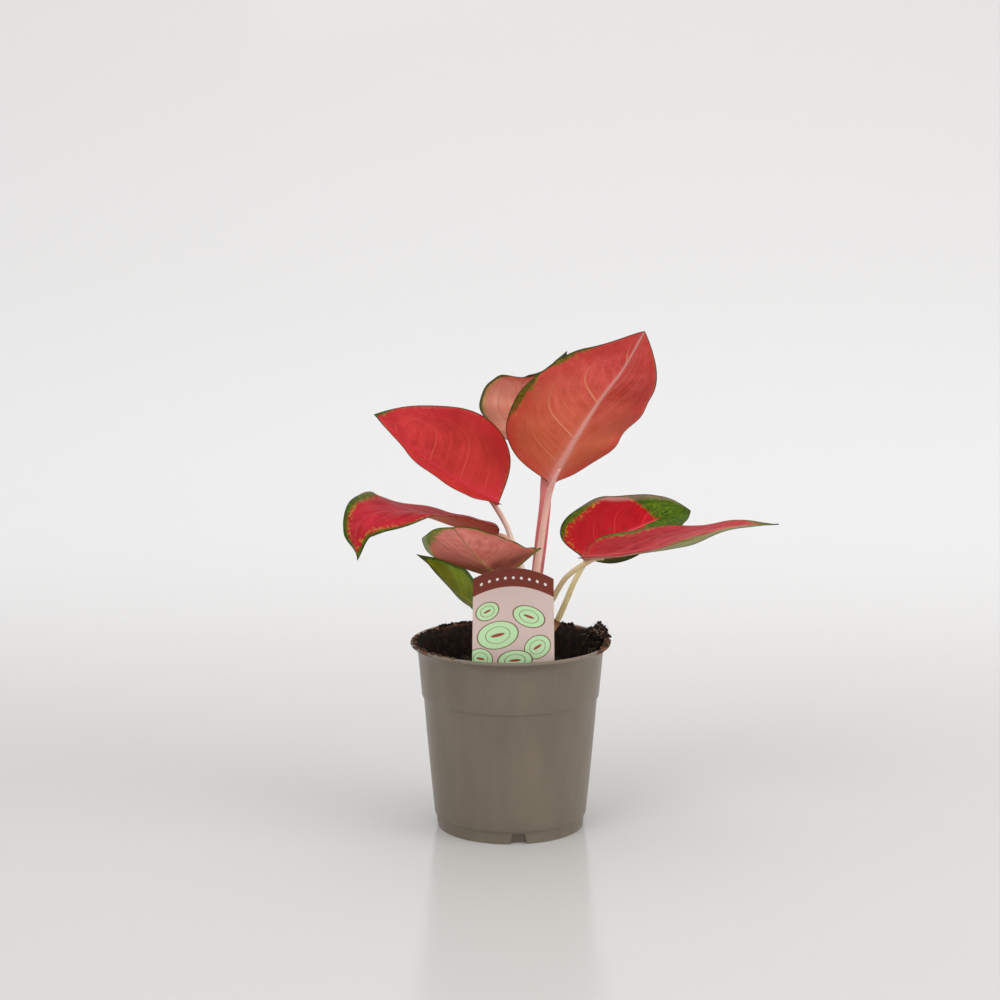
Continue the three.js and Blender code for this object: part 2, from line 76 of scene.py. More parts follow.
class Value:
    """A number that varies over a surface. Arithmetic on it adds Math nodes."""

    def __init__(self, bench, socket):
        self.bench = bench
        self.socket = socket

    def math(self, operation, *others, flip=False):
        operands = [self, *others]
        if flip:
            operands.reverse()
        node = self.bench.node("ShaderNodeMath", {"operation": operation}, dict(enumerate(operands)))
        return Value(self.bench, node.outputs[0])

    def __add__(self, other):
        return self.math("ADD", other)

    def __sub__(self, other):
        return self.math("SUBTRACT", other)

    def __rsub__(self, other):
        return self.math("SUBTRACT", other, flip=True)

    def __mul__(self, other):
        return self.math("MULTIPLY", other)

    def __truediv__(self, other):
        return self.math("DIVIDE", other)

    def __pow__(self, other):
        return self.math("POWER", other)

    def __abs__(self):
        return self.math("ABSOLUTE")

    __radd__ = __add__
    __rmul__ = __mul__

    def near(self, other):
        """Distance to the nearest whole multiple of a number."""
        return self.math("PINGPONG", other / 2)

    def least(self, other):
        return self.math("MINIMUM", other)

    def ease(self, low, high, start=0.0, end=1.0):
        """Goes smoothly from start, where this is low, to end, where it is high."""
        settings = {"interpolation_type": "SMOOTHSTEP"}
        sockets = {"Value": self, "From Min": low, "From Max": high, "To Min": start, "To Max": end}
        return Value(self.bench, self.bench.node("ShaderNodeMapRange", settings, sockets).outputs["Result"])


class Bench:
    """A node tree and the one way in which nodes are put into it."""

    def __init__(self, tree):
        self.tree = tree

    def node(self, kind, settings=None, sockets=None):
        node = self.tree.nodes.new(kind)
        for name, setting in (settings or {}).items():
            setattr(node, name, setting)
        for name, value in (sockets or {}).items():
            self.feed(self.socket(node, name), value)
        return node

    @staticmethod
    def socket(node, name):
        if isinstance(name, int):
            return node.inputs[name]
        return next(s for s in node.inputs if name in (s.identifier, s.name) and s.enabled)

    def feed(self, socket, value):
        if isinstance(value, Value):
            self.tree.links.new(value.socket, socket)
        elif isinstance(value, bpy.types.NodeSocket):
            self.tree.links.new(value, socket)
        else:
            socket.default_value = value


class Paint(Bench):
    """A material and what its patterns are made from."""

    def __init__(self, name):
        self.material = bpy.data.materials.new(name)
        self.material.use_nodes = True
        super().__init__(self.material.node_tree)
        self.shader = self.tree.nodes["Principled BSDF"]
        self.place = self.node("ShaderNodeTexCoord").outputs["Object"]

    def attribute(self, name):
        return Value(self, self.node("ShaderNodeAttribute", {"attribute_name": name}).outputs["Fac"])

    def axes(self):
        """Object coordinates in millimetres, one value for each axis."""
        split = self.node("ShaderNodeSeparateXYZ", None, {0: self.place})
        return [Value(self, output) * 1000 for output in split.outputs]

    def point(self, x=0.0, y=0.0, z=0.0):
        return self.node("ShaderNodeCombineXYZ", None, {"X": x, "Y": y, "Z": z}).outputs[0]

    def grain(self, scale, where=None, detail=3.0, roughness=0.55):
        """Soft random value about 0.5. On Object coordinates the scale is in grains to a metre."""
        sockets = {"Vector": where or self.place, "Scale": scale, "Detail": detail, "Roughness": roughness}
        return Value(self, self.node("ShaderNodeTexNoise", None, sockets).outputs["Fac"])

    def cells(self, scale):
        """Distance to the nearest of some scattered points, in parts of their spacing."""
        node = self.node("ShaderNodeTexVoronoi", None, {"Vector": self.place, "Scale": scale})
        return Value(self, node.outputs["Distance"])

    def mix(self, share, first, second, blend="MIX"):
        settings = {"data_type": "RGBA", "blend_type": blend}
        sockets = {"Factor_Float": share, "A_Color": first, "B_Color": second}
        node = self.node("ShaderNodeMix", settings, sockets)
        return next(output for output in node.outputs if output.identifier == "Result_Color")

    def finish(self, colour, roughness, height=None, depth=0.2, **plain):
        """Feeds the shader. The height is in millimetres, and depth scales it."""
        self.feed(self.shader.inputs["Base Color"], colour)
        self.feed(self.shader.inputs["Roughness"], roughness)
        for name, value in plain.items():
            self.shader.inputs[name.replace("_", " ")].default_value = value
        if height is not None:
            sockets = {"Strength": 1.0, "Distance": depth * MM, "Height": height}
            bump = self.node("ShaderNodeBump", None, sockets)
            self.feed(self.shader.inputs["Normal"], bump.outputs[0])
        return self.material

    def cover(self, share, colour, roughness, specular):
        """Lays a second finish over the first one, where share is 1."""
        sockets = {"Base Color": colour, "Roughness": roughness, "Specular IOR Level": specular}
        layer = self.node("ShaderNodeBsdfPrincipled", None, sockets)
        sockets = {0: share, 1: self.shader.outputs[0], 2: layer.outputs[0]}
        both = self.node("ShaderNodeMixShader", None, sockets)
        self.feed(self.tree.nodes["Material Output"].inputs["Surface"], both.outputs[0])
        return self.material


# Words for making meshes


def blend(start, end, share):
    return start + (end - start) * share


def ease(share):
    s = np.clip(share, 0, 1)
    return s * s * (3 - 2 * s)


def eased(values, share):
    """Eases from one entry of a list to the next, as share goes from 0 to 1."""
    values = np.asarray(values, float)
    place = np.clip(share, 0, 1) * (len(values) - 1)
    i = np.minimum(place.astype(int), len(values) - 2)
    step = ease(place - i)
    if values.ndim > 1:
        step = step[..., None]
    return blend(values[i], values[i + 1], step)


def unit(vectors):
    return vectors / np.linalg.norm(vectors, axis=-1, keepdims=True)


class Path:
    """A smooth path through points, read by distance. It runs straight on past either end."""

    def __init__(self, points):
        points = np.asarray(points, float)
        knots = np.vstack([2 * points[0] - points[1], points, 2 * points[-1] - points[-2]])
        time = np.linspace(0, len(points) - 1, 1201)
        i = np.minimum(time.astype(int), len(points) - 2)
        f = (time - i)[:, None]
        a, b, c, d = (knots[i + k] for k in range(4))
        bent = (2 * a - 5 * b + 4 * c - d) * f**2 + (3 * b - a - 3 * c + d) * f**3
        self.points = 0.5 * (2 * b + (c - a) * f + bent)
        steps = np.linalg.norm(np.diff(self.points, axis=0), axis=1)
        self.run = np.concatenate([[0], np.cumsum(steps)])
        self.length = self.run[-1]
        self.tangents = unit(np.gradient(self.points, axis=0))

    def at(self, distance):
        distance = np.asarray(distance, float)
        tangent = unit(np.stack([np.interp(distance, self.run, t) for t in self.tangents.T], -1))
        point = np.stack([np.interp(distance, self.run, p) for p in self.points.T], -1)
        beyond = distance - np.clip(distance, 0, self.length)
        return point + tangent * beyond[..., None], tangent


def make_piece(name, points, faces, paints, slots=None, attributes=None, smooth=True):
    """A mesh object at the origin from points in millimetres. Each attribute has one number a point."""
    mesh = bpy.data.meshes.new(name)
    mesh.from_pydata((np.asarray(points) * MM).tolist(), [], [list(f) for f in faces])
    for key, numbers in (attributes or {}).items():
        attribute = mesh.attributes.new(key, "FLOAT", "POINT")
        attribute.data.foreach_set("value", np.asarray(numbers, np.float32).ravel())
    for paint in paints:
        mesh.materials.append(paint)
    if slots is not None:
        mesh.polygons.foreach_set("material_index", slots)
    mesh.polygons.foreach_set("use_smooth", [smooth] * len(mesh.polygons))
    mesh.update()
    piece = bpy.data.objects.new(name, mesh)
    bpy.context.collection.objects.link(piece)
    return piece


def settle(piece, *nodes, slot=None):
    """Puts a finished piece on the part, in place of the CAD nodes named."""
    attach(piece, "root")
    if nodes:
        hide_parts(*nodes)


def applied(piece):
    """The piece with its modifiers worked into a plain mesh."""
    graph = bpy.context.evaluated_depsgraph_get()
    mesh = bpy.data.meshes.new_from_object(piece.evaluated_get(graph))
    piece.modifiers.clear()
    piece.data = mesh
    return piece


def grid_faces(rows, columns, closed=False):
    """Faces of a grid of points, turned so that they face up where rows run along X and columns along Y."""
    wide = columns if closed else columns - 1
    i, j = np.meshgrid(np.arange(rows - 1), np.arange(wide), indexing="ij")
    after = (j + 1) % columns
    corners = [i * columns + j, (i + 1) * columns + j, (i + 1) * columns + after, i * columns + after]
    return np.stack(corners, -1).reshape(-1, 4).tolist()


def turned(profile, segments):
    """Points and faces of a closed profile of (radius, height), or one that starts and ends on the axis."""
    angles = np.arange(segments) / segments * 2 * np.pi
    points, rings = [], []
    for r, z in profile:
        if r == 0:
            rings.append([len(points)] * segments)
            points.append((0, 0, z))
        else:
            rings.append(list(range(len(points), len(points) + segments)))
            points.extend((r * math.cos(a), r * math.sin(a), z) for a in angles)
    faces = []
    for low, high in zip(rings, rings[1:]):
        for s in range(segments):
            t = (s + 1) % segments
            corners = [low[s], low[t], high[t], high[s]]
            faces.append([c for k, c in enumerate(corners) if c != corners[k - 1]])
    return points, faces


# Leaves: the same shapes as the solids, in millimetres. A pair of values or lists is for the left and the
# right half, seen from the upper face with the tip ahead. A list runs from the neck to the tip.
#   rib, stalk: points that they pass through
#   face: where the upper face looks
#   half: greatest width of a half, and point: how slim it gets towards the tip
#   fold: degrees by which a half is raised at the rib, and curl: degrees by which it bends on to its margin
#   wave: height of the margin's waves, their number and where they start
#   radius: of the stalk at its foot and at its top, and flat: its depth over its width
#   sheath: length of the sheath round the stalk's foot
#   slant: how steeply the side veins run towards the tip
#   green, pale: how far the green and a painted sheen, a pale reflection on curled margins, reach in from the
#       margin

WIDEST = 0.33
BASE_ROUNDNESS = 0.38
BLADE_NECK = 2
COMMON_SHAPE = {
    "curl": [[0, 0], [0, 0]],
    "flat": 1,
    "slant": [0.3, 0.3],
    "pale": [[0, 0, 0], [0, 0, 0]],
}
LEAVES = {
    "tall": {
        "rib": [[24, -4, 209], [37, -16, 236], [51, -27, 261], [64, -40, 281], [75, -56, 304]],
        "face": [[0, 0.9, 0.3], [0.1, 0.75, 0.6], [0.1, 0.6, 0.8]],
        "half": [42, 42],
        "point": 0.9,
        "fold": [[54, 39, 23, 8, 12], [24, 12, 12, 22, 20]],
        "curl": [[-8, 12, 8], [0, 0]],
        "wave": [[0.5, 3, 0.2], [0.8, 2.5, 0.5]],
        "stalk": [
            [12.5, -0.5, 102], [13.5, -1.5, 128], [15.3, -1.5, 153], [18.2, -1.5, 174], [22.2, -3.2, 200],
        ],
        "radius": [2.1, 1.9],
        "sheath": 28,
        "slant": [0.55, 0.12],
        "green": [[0.4, 0.5, 0.5, 0.5, 0.4], [0.4, 0.4, 0.6, 3.6, 4, 0.6, 2.6, 1.4, 0.4, 0.4, 0.4]],
    },
    "tall_back": {
        "rib": [[22, 13, 207], [15, 20, 232], [14, 20, 256], [23, 12, 276], [33, 0, 287]],
        "face": [[0, 0.9, 0.3], [0, 0.9, 0.4], [0, 0.8, 0.6]],
        "half": [30, 37],
        "point": 1.0,
        "fold": [[20, 22, 23, 22, 20], [84, 77, 62, 31, 8, -10, -45, -72, -80]],
        "curl": [[15, 15, 10], [18, 18, 0]],
        "wave": [[1, 2.5, 0], [1, 2.5, 0.3]],
        "stalk": [[11.5, 3, 102], [12.8, 5, 128], [15.9, 5.2, 152], [18.6, 5.6, 176], [20.9, 9, 198]],
        "radius": [3.3, 3.6],
        "flat": 0.4,
        "sheath": 28,
        "slant": [0.2, 0.2],
        "green": [
            [1, 1, 1, 1, 1, 1, 1, 1, 1, 4, 14],
            [2, 2.4, 3, 3.4, 3, 2, 1, 4, 14, 20, 20],
        ],
        "pale": [[0, 0, 0], [0, 3, 4.5, 5, 4, 1.5, 0, 0]],
    },
    "upper_left": {
        "rib": [[-7, 3, 196], [-28, 0, 207.5], [-46, -5, 220.5], [-63.5, -13, 236.5], [-79, -26, 253]],
        "face": [[0.2, -0.7, 0.7], [0.2, -0.7, 0.7], [0.2, -0.7, 0.7]],
        "half": [30, 45],
        "point": 0.92,
        "fold": [[52, 44, 40, 32, 24], [10, 17, 14, 15, 16]],
        "wave": [[0.3, 2.5, 0], [0.5, 2, 0.15]],
        "stalk": [[9, 0.5, 102], [8.6, 0.5, 130], [7.2, 0.5, 154], [0.6, 1.6, 174], [-3.4, 2, 184.5]],
        "radius": [2, 1.6],
        "sheath": 30,
        "slant": [0.1, 0.05],
        "green": [[0.5, 0.4, 0.4, 0.4, 0.4, 0.4, 0.4, 2.4], [0.6, 0.4, 0.4, 0.4, 0.4, 0.4, 0.4, 2.4]],
    },
    "left": {
        "rib": [
            [-7, -12, 181], [-30, -12, 185], [-49, -17, 192], [-66, -29, 197], [-81, -43, 197],
            [-89, -50, 188], [-88, -52, 172],
        ],
        "face": [[0, -0.05, 1], [-0.1, -0.3, 0.95], [-0.35, -0.6, 0.7], [-0.5, -0.8, 0.1]],
        "half": [33, 33],
        "point": 0.92,
        "fold": [[22, 32, 20, -10, -40], [0, -6, -10, -10, -8, -2, 4, -8, -50]],
        "wave": [[0.6, 2, 0], [1.8, 1.7, 0.23]],
        "stalk": [[8, -1.5, 102], [4.5, -2.5, 126], [1.8, -3, 144], [-0.4, -6, 162], [-2.2, -10.6, 176.5]],
        "radius": [1.9, 1.7],
        "sheath": 28,
        "green": [
            [0.5, 0.5, 0.5, 0.6, 0.8, 1.2, 1.6, 1.8, 2, 2.2, 2.6],
            [0.5, 0.6, 0.6, 0.7, 0.8, 2.5, 6.5, 4.6, 3.4, 3, 2.6],
        ],
        "pale": [[0, 0, 0], [0, 1, 3, 0, 0]],
    },
    "front_left": {
        "rib": [[-6, -24, 155], [-14, -42, 167], [-22, -59, 179], [-28, -76, 190], [-32, -95, 199]],
        "face": [[0.1, 0.6, 0.8], [0.1, 0.45, 0.9], [0.1, 0.2, 1]],
        "half": [34, 37],
        "point": 0.9,
        "fold": [[34, 26, 18, 10, 3, 6, 12, 19, 26], [19, 13, 11, 6, 6]],
        "wave": [[1, 2, 0.2], [0.8, 2.5, 0]],
        "stalk": [[9, -3.5, 102], [4.5, -7.5, 124], [0.9, -11, 138], [-3.4, -17, 148]],
        "radius": [1.9, 1.7],
        "sheath": 24,
        "slant": [0.3, 0.5],
        "green": [
            [1.5, 5, 5, 2, 0.8, 0.8, 0.8, 0.8, 1, 1.2, 1.5],
            [0.8, 1, 1.5, 2, 3.5, 6, 6.5, 5, 3.5, 2, 1.5],
        ],
        "pale": [[0, 0, 0], [0, 1.5, 4, 2.5, 0, 0]],
    },
    "low_left": {
        "rib": [[-15, -13, 133], [-27, -16, 142], [-38, -19, 153], [-47, -21, 163], [-55, -22, 170]],
        "face": [[0.3, -0.5, 0.8], [0.3, -0.5, 0.8], [0.3, -0.5, 0.8]],
        "half": [16, 20],
        "point": 1.2,
        "fold": [[30, 32, 31, 30, 45], [6, -2, 3, 13, 18]],
        "curl": [[0, 0], [8, 1]],
        "wave": [[0.5, 2, 0], [0.5, 2, 0.5]],
        "stalk": [[7, -2, 102], [0.5, -4.5, 114], [-4.5, -9.5, 124.5], [-9.5, -13, 130.6]],
        "radius": [1.5, 1.3],
        "sheath": 20,
        "green": [[3, 2.5, 2, 1.6, 3], [4, 3.5, 2, 1.6, 3]],
        "pale": [[1, 2.5, 2.5, 2, 0], [0, 0, 0]],
    },
    "right_back": {
        "rib": [[44, 8, 162], [60, 24, 169], [80, 41, 175], [98, 56, 179], [113, 70, 180]],
        "face": [[-0.2, -0.4, 0.85], [-0.2, -0.4, 0.85], [-0.2, -0.4, 0.85]],
        "half": [31, 30],
        "point": 0.9,
        "fold": [[15, 23, 23, 42, 60], [2, 6, 4, 0, -12]],
        "curl": [[7, 7, 4], [0, 0]],
        "wave": [[1.2, 2.5, 0.1], [1.2, 2.5, 0.4]],
        "stalk": [[13, 2.5, 102], [19, 5.5, 111], [27.6, 8, 122.5], [33.5, 8, 135.5], [38.9, 8, 148.4]],
        "radius": [1.9, 1.6],
        "sheath": 27,
        "slant": [0.25, 0.2],
        "green": [
            [0.5, 3.2, 4.5, 3.6, 2, 1, 1.4, 20, 40, 40, 40],
            [6, 7, 6, 5, 4.5, 9, 34, 40, 40, 40, 40],
        ],
        "pale": [[0, 0, 0, 2.5, 4, 4, 3, 1.5, 0], [0, 0, 0]],
    },
    "right_front": {
        "rib": [
            [43, -14, 166], [61, -20, 169], [81, -26, 174], [104, -35, 183], [129, -47, 191], [152, -62, 195],
        ],
        "face": [[0, -0.35, 0.94], [0, -0.35, 0.94], [0, -0.3, 0.94]],
        "half": [30, 29],
        "point": 1.4,
        "fold": [[3, -2, -13, -8, 6], [30, 27, 16, 8, 18]],
        "wave": [[1, 2.5, 0.275], [1.4, 3, 0]],
        "stalk": [[13.5, 0, 102], [18, 0, 118], [21.5, -1.5, 131], [26, -4.5, 141], [33.8, -9.5, 154.3]],
        "radius": [1.9, 1.6],
        "sheath": 28,
        "slant": [0.35, 0.3],
        "green": [
            [0.3, 3, 4.6, 2.6, 0.5, 0.3, 0.3, 0.3, 1, 3, 10],
            [0.8, 0.8, 1, 2.5, 8, 13, 13, 9, 5, 4, 10],
        ],
        "pale": [[0, 0, 0], [1.5, 3.5, 5, 9, 10, 5, 0]],
    },
}
LEAVES = {name: COMMON_SHAPE | leaf for name, leaf in LEAVES.items()}

# Colours of the two faces of a leaf, and then where single leaves differ. "rib_width" says how much wider
# the pale rib is at the neck than at the tip, and how wide it is there. "edge_width" is the dark edge's.
# "pale" is the colour of the painted sheen, a pale reflection laid along curled margins.
FACE = {"edge_width": 0.55, "gloss": 0.2}
UPPER = FACE | {
    "neck": (168, 22, 30),
    "deep": (156, 20, 28),
    "bright": (190, 42, 50),
    "rib": (212, 84, 94),
    "vein": (212, 92, 94),
    "green": (34, 60, 10),
    "fresh": (104, 128, 26),
    "speck": (196, 148, 70),
    "edge": (58, 44, 22),
    "pale": (204, 132, 126),
    "flush": (190, 20, 34),
    "rib_width": (2.2, 0.4),
}
UNDER = FACE | {
    "neck": (206, 104, 70),
    "deep": (184, 54, 38),
    "bright": (222, 88, 86),
    "rib": (220, 156, 144),
    "vein": (232, 146, 112),
    "green": (68, 64, 12),
    "fresh": (140, 128, 22),
    "speck": (196, 126, 50),
    "edge": (46, 36, 18),
    "pale": (196, 170, 150),
    "flush": (206, 54, 52),
    "rib_width": (3.8, 0.5),
}
OWN_COLOURS = {
    "tall": (
        {},
        {"neck": (212, 116, 76), "green": (62, 58, 10)},
    ),
    "tall_back": (
        {"green": (40, 44, 14), "fresh": (74, 72, 24)},
        # Under face painted much lighter than its own colour: painted light standing for light that shines
        # through the blade.
        {"neck": (250, 176, 136), "deep": (252, 162, 134), "bright": (255, 200, 176), "green": (50, 76, 24),
         "fresh": (120, 130, 44), "pale": (226, 180, 112), "flush": (252, 160, 140), "edge": (38, 62, 20),
         "edge_width": 2.4},
    ),
    "upper_left": (
        {"neck": (190, 50, 40), "deep": (150, 30, 24), "bright": (198, 54, 56), "rib": (198, 50, 62),
         "vein": (196, 74, 66), "flush": (200, 38, 52), "rib_width": (3.4, 1.2)},
        {},
    ),
    "left": (
        {"deep": (140, 14, 26), "bright": (182, 40, 50), "rib": (178, 52, 62), "vein": (186, 60, 66),
         "speck": (196, 132, 56), "gloss": 0.1},
        # Under face painted lighter to make up for the shade it lies in: painted light.
        {"neck": (222, 124, 78), "deep": (210, 108, 66), "bright": (234, 148, 106), "flush": (204, 96, 58),
         "gloss": 0.1},
    ),
    "front_left": (
        {},
        {"neck": (134, 64, 40), "deep": (216, 112, 98), "bright": (255, 160, 148), "rib": (178, 132, 84),
         "green": (84, 112, 26), "fresh": (150, 164, 60), "pale": (190, 196, 170), "flush": (232, 118, 104),
         "rib_width": (1.6, 0.35), "gloss": 0.08},
    ),
    "low_left": (
        {"neck": (60, 80, 14), "deep": (120, 146, 24), "bright": (184, 200, 46), "green": (48, 80, 16),
         "fresh": (78, 108, 28), "speck": (120, 140, 34), "rib": (154, 166, 64), "vein": (150, 164, 52),
         "pale": (170, 186, 146), "flush": (104, 128, 20)},
        {"neck": (84, 96, 40), "deep": (84, 96, 40), "bright": (120, 128, 60), "green": (70, 84, 36),
         "fresh": (96, 108, 52), "speck": (120, 126, 60), "rib": (150, 160, 90), "vein": (120, 130, 66),
         "flush": (90, 100, 46)},
    ),
    "right_back": (
        {"deep": (146, 4, 12), "bright": (186, 14, 28), "green": (36, 66, 10), "fresh": (96, 118, 18),
         "vein": (196, 52, 54), "speck": (204, 150, 50), "pale": (190, 142, 132), "gloss": 0.08},
        {},
    ),
    "right_front": (
        {"neck": (158, 12, 24), "deep": (142, 14, 26), "bright": (200, 84, 86), "rib": (206, 84, 92),
         "green": (58, 84, 12), "fresh": (120, 134, 40), "pale": (178, 164, 136), "gloss": 0.1},
        {},
    ),
}


def leaf_paint(name, colours, is_upper):
    """Skin of one face of a leaf, from what the blade's points know about where they are."""
    paint = Paint(name)
    along, across, margin = (paint.attribute(key) for key in ("along", "across", "margin"))
    from_rib, vein, green, pale = (paint.attribute(key) for key in ("from_rib", "vein", "green", "pale"))
    tone = {key: rgb(*value) for key, value in colours.items() if np.size(value) == 3}
    out = abs(across)

    streaks = paint.grain(5, paint.point(vein * 9, across * 1.4, along), 4, 0.62)
    bands = paint.grain(0.7, paint.point(vein * 6, across * 2, along), 2)
    clouds = paint.grain(44, detail=3)
    mottle = paint.grain(150, detail=4, roughness=0.7)
    shade = clouds * 1.0 + streaks * 0.5 + bands * 0.9 + mottle * 0.9 - 1.15
    colour = paint.mix(shade.ease(0.1, 0.9), tone["deep"], tone["bright"])
    colour = paint.mix((clouds * 0.5 - along).ease(-0.5, 0.2) * 0.75, colour, tone["neck"])
    colour = paint.mix((margin + (clouds - 0.5) * 24).ease(0, 12, 0.5, 0), colour, tone["flush"])
    blots = paint.grain(3.2, paint.point(vein * 5, across * 2.4, along * 3), 3, 0.6)
    colour = paint.mix(blots.ease(0.5, 0.72) * 0.16, colour, tone["deep"], "MULTIPLY")

    # Side veins leave the rib and bend towards the tip
    lateral = 1 - vein.near(1).ease(0.0, out.ease(0, 1, 0.034, 0.018))
    lateral = lateral * out.ease(0.68, 0.98, 1, 0.1)
    minor = 1 - (vein * 5).near(1).ease(0.0, 0.2)
    strength = paint.grain(2.5, paint.point(vein * 1.2, across, along)).ease(0.3, 0.58, 0.55, 0.9)
    colour = paint.mix(lateral * strength + minor * 0.1, colour, tone["vein"])

    # Rib, broad and pale near the neck
    wide, narrow = colours["rib_width"]
    rib_reach = (1 - along) ** 3.0 * wide + narrow
    rib = 1 - (from_rib / rib_reach).ease(0.25, 1.25)
    glow = 1 - (from_rib / rib_reach).ease(0.6, 3.5)
    colour = paint.mix(glow * 0.2 + rib * 0.7, colour, tone["rib"])

    # Green from the margin inwards, ragged along the veins, with flecks where it meets the red
    teeth = (paint.grain(2, paint.point(vein * 9, across * 1.5, along), 4, 0.65) - 0.5) * 16
    flecks = paint.grain(460, detail=2)
    ragged = (green / 5).least(4)
    reach = green + (teeth + (streaks - 0.5) * 8) * ragged - margin
    cover = (reach + (flecks - 0.5) * 7 * ragged.least(1)).ease(-0.25, 0.25)
    seam = (reach + (flecks - 0.5) * 8).ease(-2.0, -0.1) * (green / 3).least(1)
    patch = paint.grain(2.2, paint.point(vein * 6, across * 3, along * 2), 3) + clouds * 0.4 - 0.2
    fresh = patch.ease(0.4, 0.62) * 0.55 + flecks.ease(0.5, 0.64) * 0.4
    leafy = paint.mix(fresh, tone["green"], tone["fresh"])
    colour = paint.mix(seam * flecks.ease(0.46, 0.6) * 0.8, colour, tone["speck"])
    colour = paint.mix(cover, colour, leafy)

    # Painted sheen: a pale reflection laid over the colour along curled margins, weaker on the green
    painted_sheen = (pale - margin + (streaks - 0.5) * 4).ease(-1.0, 1.6) * pale.least(1)
    colour = paint.mix(painted_sheen * (0.65 - cover * 0.3), colour, tone["pale"])
    colour = paint.mix(margin.ease(0.2, colours["edge_width"], 0.9, 0), colour, tone["edge"])

    height = streaks * 0.4 + lateral * (-0.6 if is_upper else 0.8) + minor * 0.25
    height = height + mottle * 0.5 + flecks * 0.1
    roughness = clouds * 0.16 + (0.42 if is_upper else 0.5)
    return paint.finish(colour, roughness, height, 0.22, Specular_IOR_Level=colours["gloss"])


def outline(share, point):
    """Width of a half blade over its greatest width, at a share of the length from neck to tip."""
    bulge = np.sin(np.pi * np.clip(share, 0, 1) ** (math.log(0.5) / math.log(WIDEST)))
    return np.maximum(bulge, 0) ** blend(BASE_ROUNDNESS, point, ease((share - 0.15) / 0.3))


BLADE_ROWS = 104
BLADE_COLUMNS = 22
SIDE_VEINS = 5
QUILTING = 0.28  # how far the skin rises between side veins
BLADE_THICKNESS = (0.62, 0.24)  # beside the rib, at the margin
RIB_HEIGHT = (1.3, 0.15)  # at the neck, at the tip, as are the next two
RIB_SPREAD = (1.5, 0.5)
GROOVE_DEPTH = (0.45, 0.1)
GROOVE_SPREAD = 1.0


def edge_distance(grid, border):
    """Distance of each point of a grid to a line of points."""
    start, step = border[:-1], np.diff(border, axis=0)
    from_start = grid.reshape(-1, 1, 3) - start
    share = np.clip(np.sum(from_start * step, -1) / np.maximum(np.sum(step * step, -1), 1e-9), 0, 1)
    nearest = np.linalg.norm(from_start - share[..., None] * step, axis=-1).min(1)
    return nearest.reshape(grid.shape[:-1])


def blade_sheet(leaf):
    """The blade's middle surface as a grid, and what each of its points knows about its place."""
    path = Path(leaf["rib"])
    length = path.length
    u = np.linspace(0, 1 - 0.25 / BLADE_ROWS, BLADE_ROWS)[:, None]
    s = np.linspace(-1, 1, 2 * BLADE_COLUMNS + 1)[None, :]
    v = np.sign(s) * np.abs(s) ** 1.5
    u, v = np.broadcast_arrays(u, v)
    hand = (v < 0).astype(int)
    out = np.abs(v)

    def by_hand(key, place):
        left, right = (eased(values, place) for values in leaf[key])
        return np.where(hand == 0, left, right)

    half = np.where(hand == 0, *leaf["half"])
    share = (1 - np.cos(np.pi * u)) / 2
    along = blend(length * u**1.4, length * share, out**1.3)
    reach = np.maximum(outline(share, leaf["point"]) * half, BLADE_NECK * (1 - u))
    across = reach * out
    point, tangent = path.at(along)
    place = along / length
    up = eased(leaf["face"], place)
    up = unit(up - tangent * np.sum(up * tangent, -1, keepdims=True))
    side = np.cross(up, tangent) * np.where(hand == 0, 1, -1)[..., None]
    fold = np.radians(by_hand("fold", place))
    curl = np.radians(by_hand("curl", place))
    curl = np.where(curl == 0, 1e-3, curl)
    angle = fold + curl * across / half
    rise, waves, shift = (np.where(hand == 0, *pair) for pair in zip(*leaf["wave"]))
    ripple = rise * out**2 * np.sin(np.pi * place) * np.sin(2 * np.pi * (waves * place + shift))

    # The side veins start closer together near the neck
    slant = np.where(hand == 0, *leaf["slant"])
    start = place - slant * out - (1 - slant) * out**6.5
    vein = SIDE_VEINS * np.sign(start) * np.abs(start) ** 0.6 + 0.55 + 0.12 * hand
    quilt = QUILTING * np.cos(2 * np.pi * vein) * np.sin(np.pi * np.minimum(out, 1)) * np.sin(np.pi * place)

    point = point + side * (half / curl * (np.sin(angle) - np.sin(fold)))[..., None]
    lift = half / curl * (np.cos(fold) - np.cos(angle)) + ripple - quilt
    point = point + up * lift[..., None]
    tip = path.at(length)[0]
    left_edge, right_edge = (np.vstack([point[:, column], tip]) for column in (-1, 0))
    margin = np.where(hand == 0, edge_distance(point, left_edge), edge_distance(point, right_edge))
    facts = {
        "along": place,
        "across": v,
        "margin": margin,
        "from_rib": across,
        "vein": vein,
        "green": by_hand("green", place),
        "pale": by_hand("pale", place),
    }
    return point, tip, facts


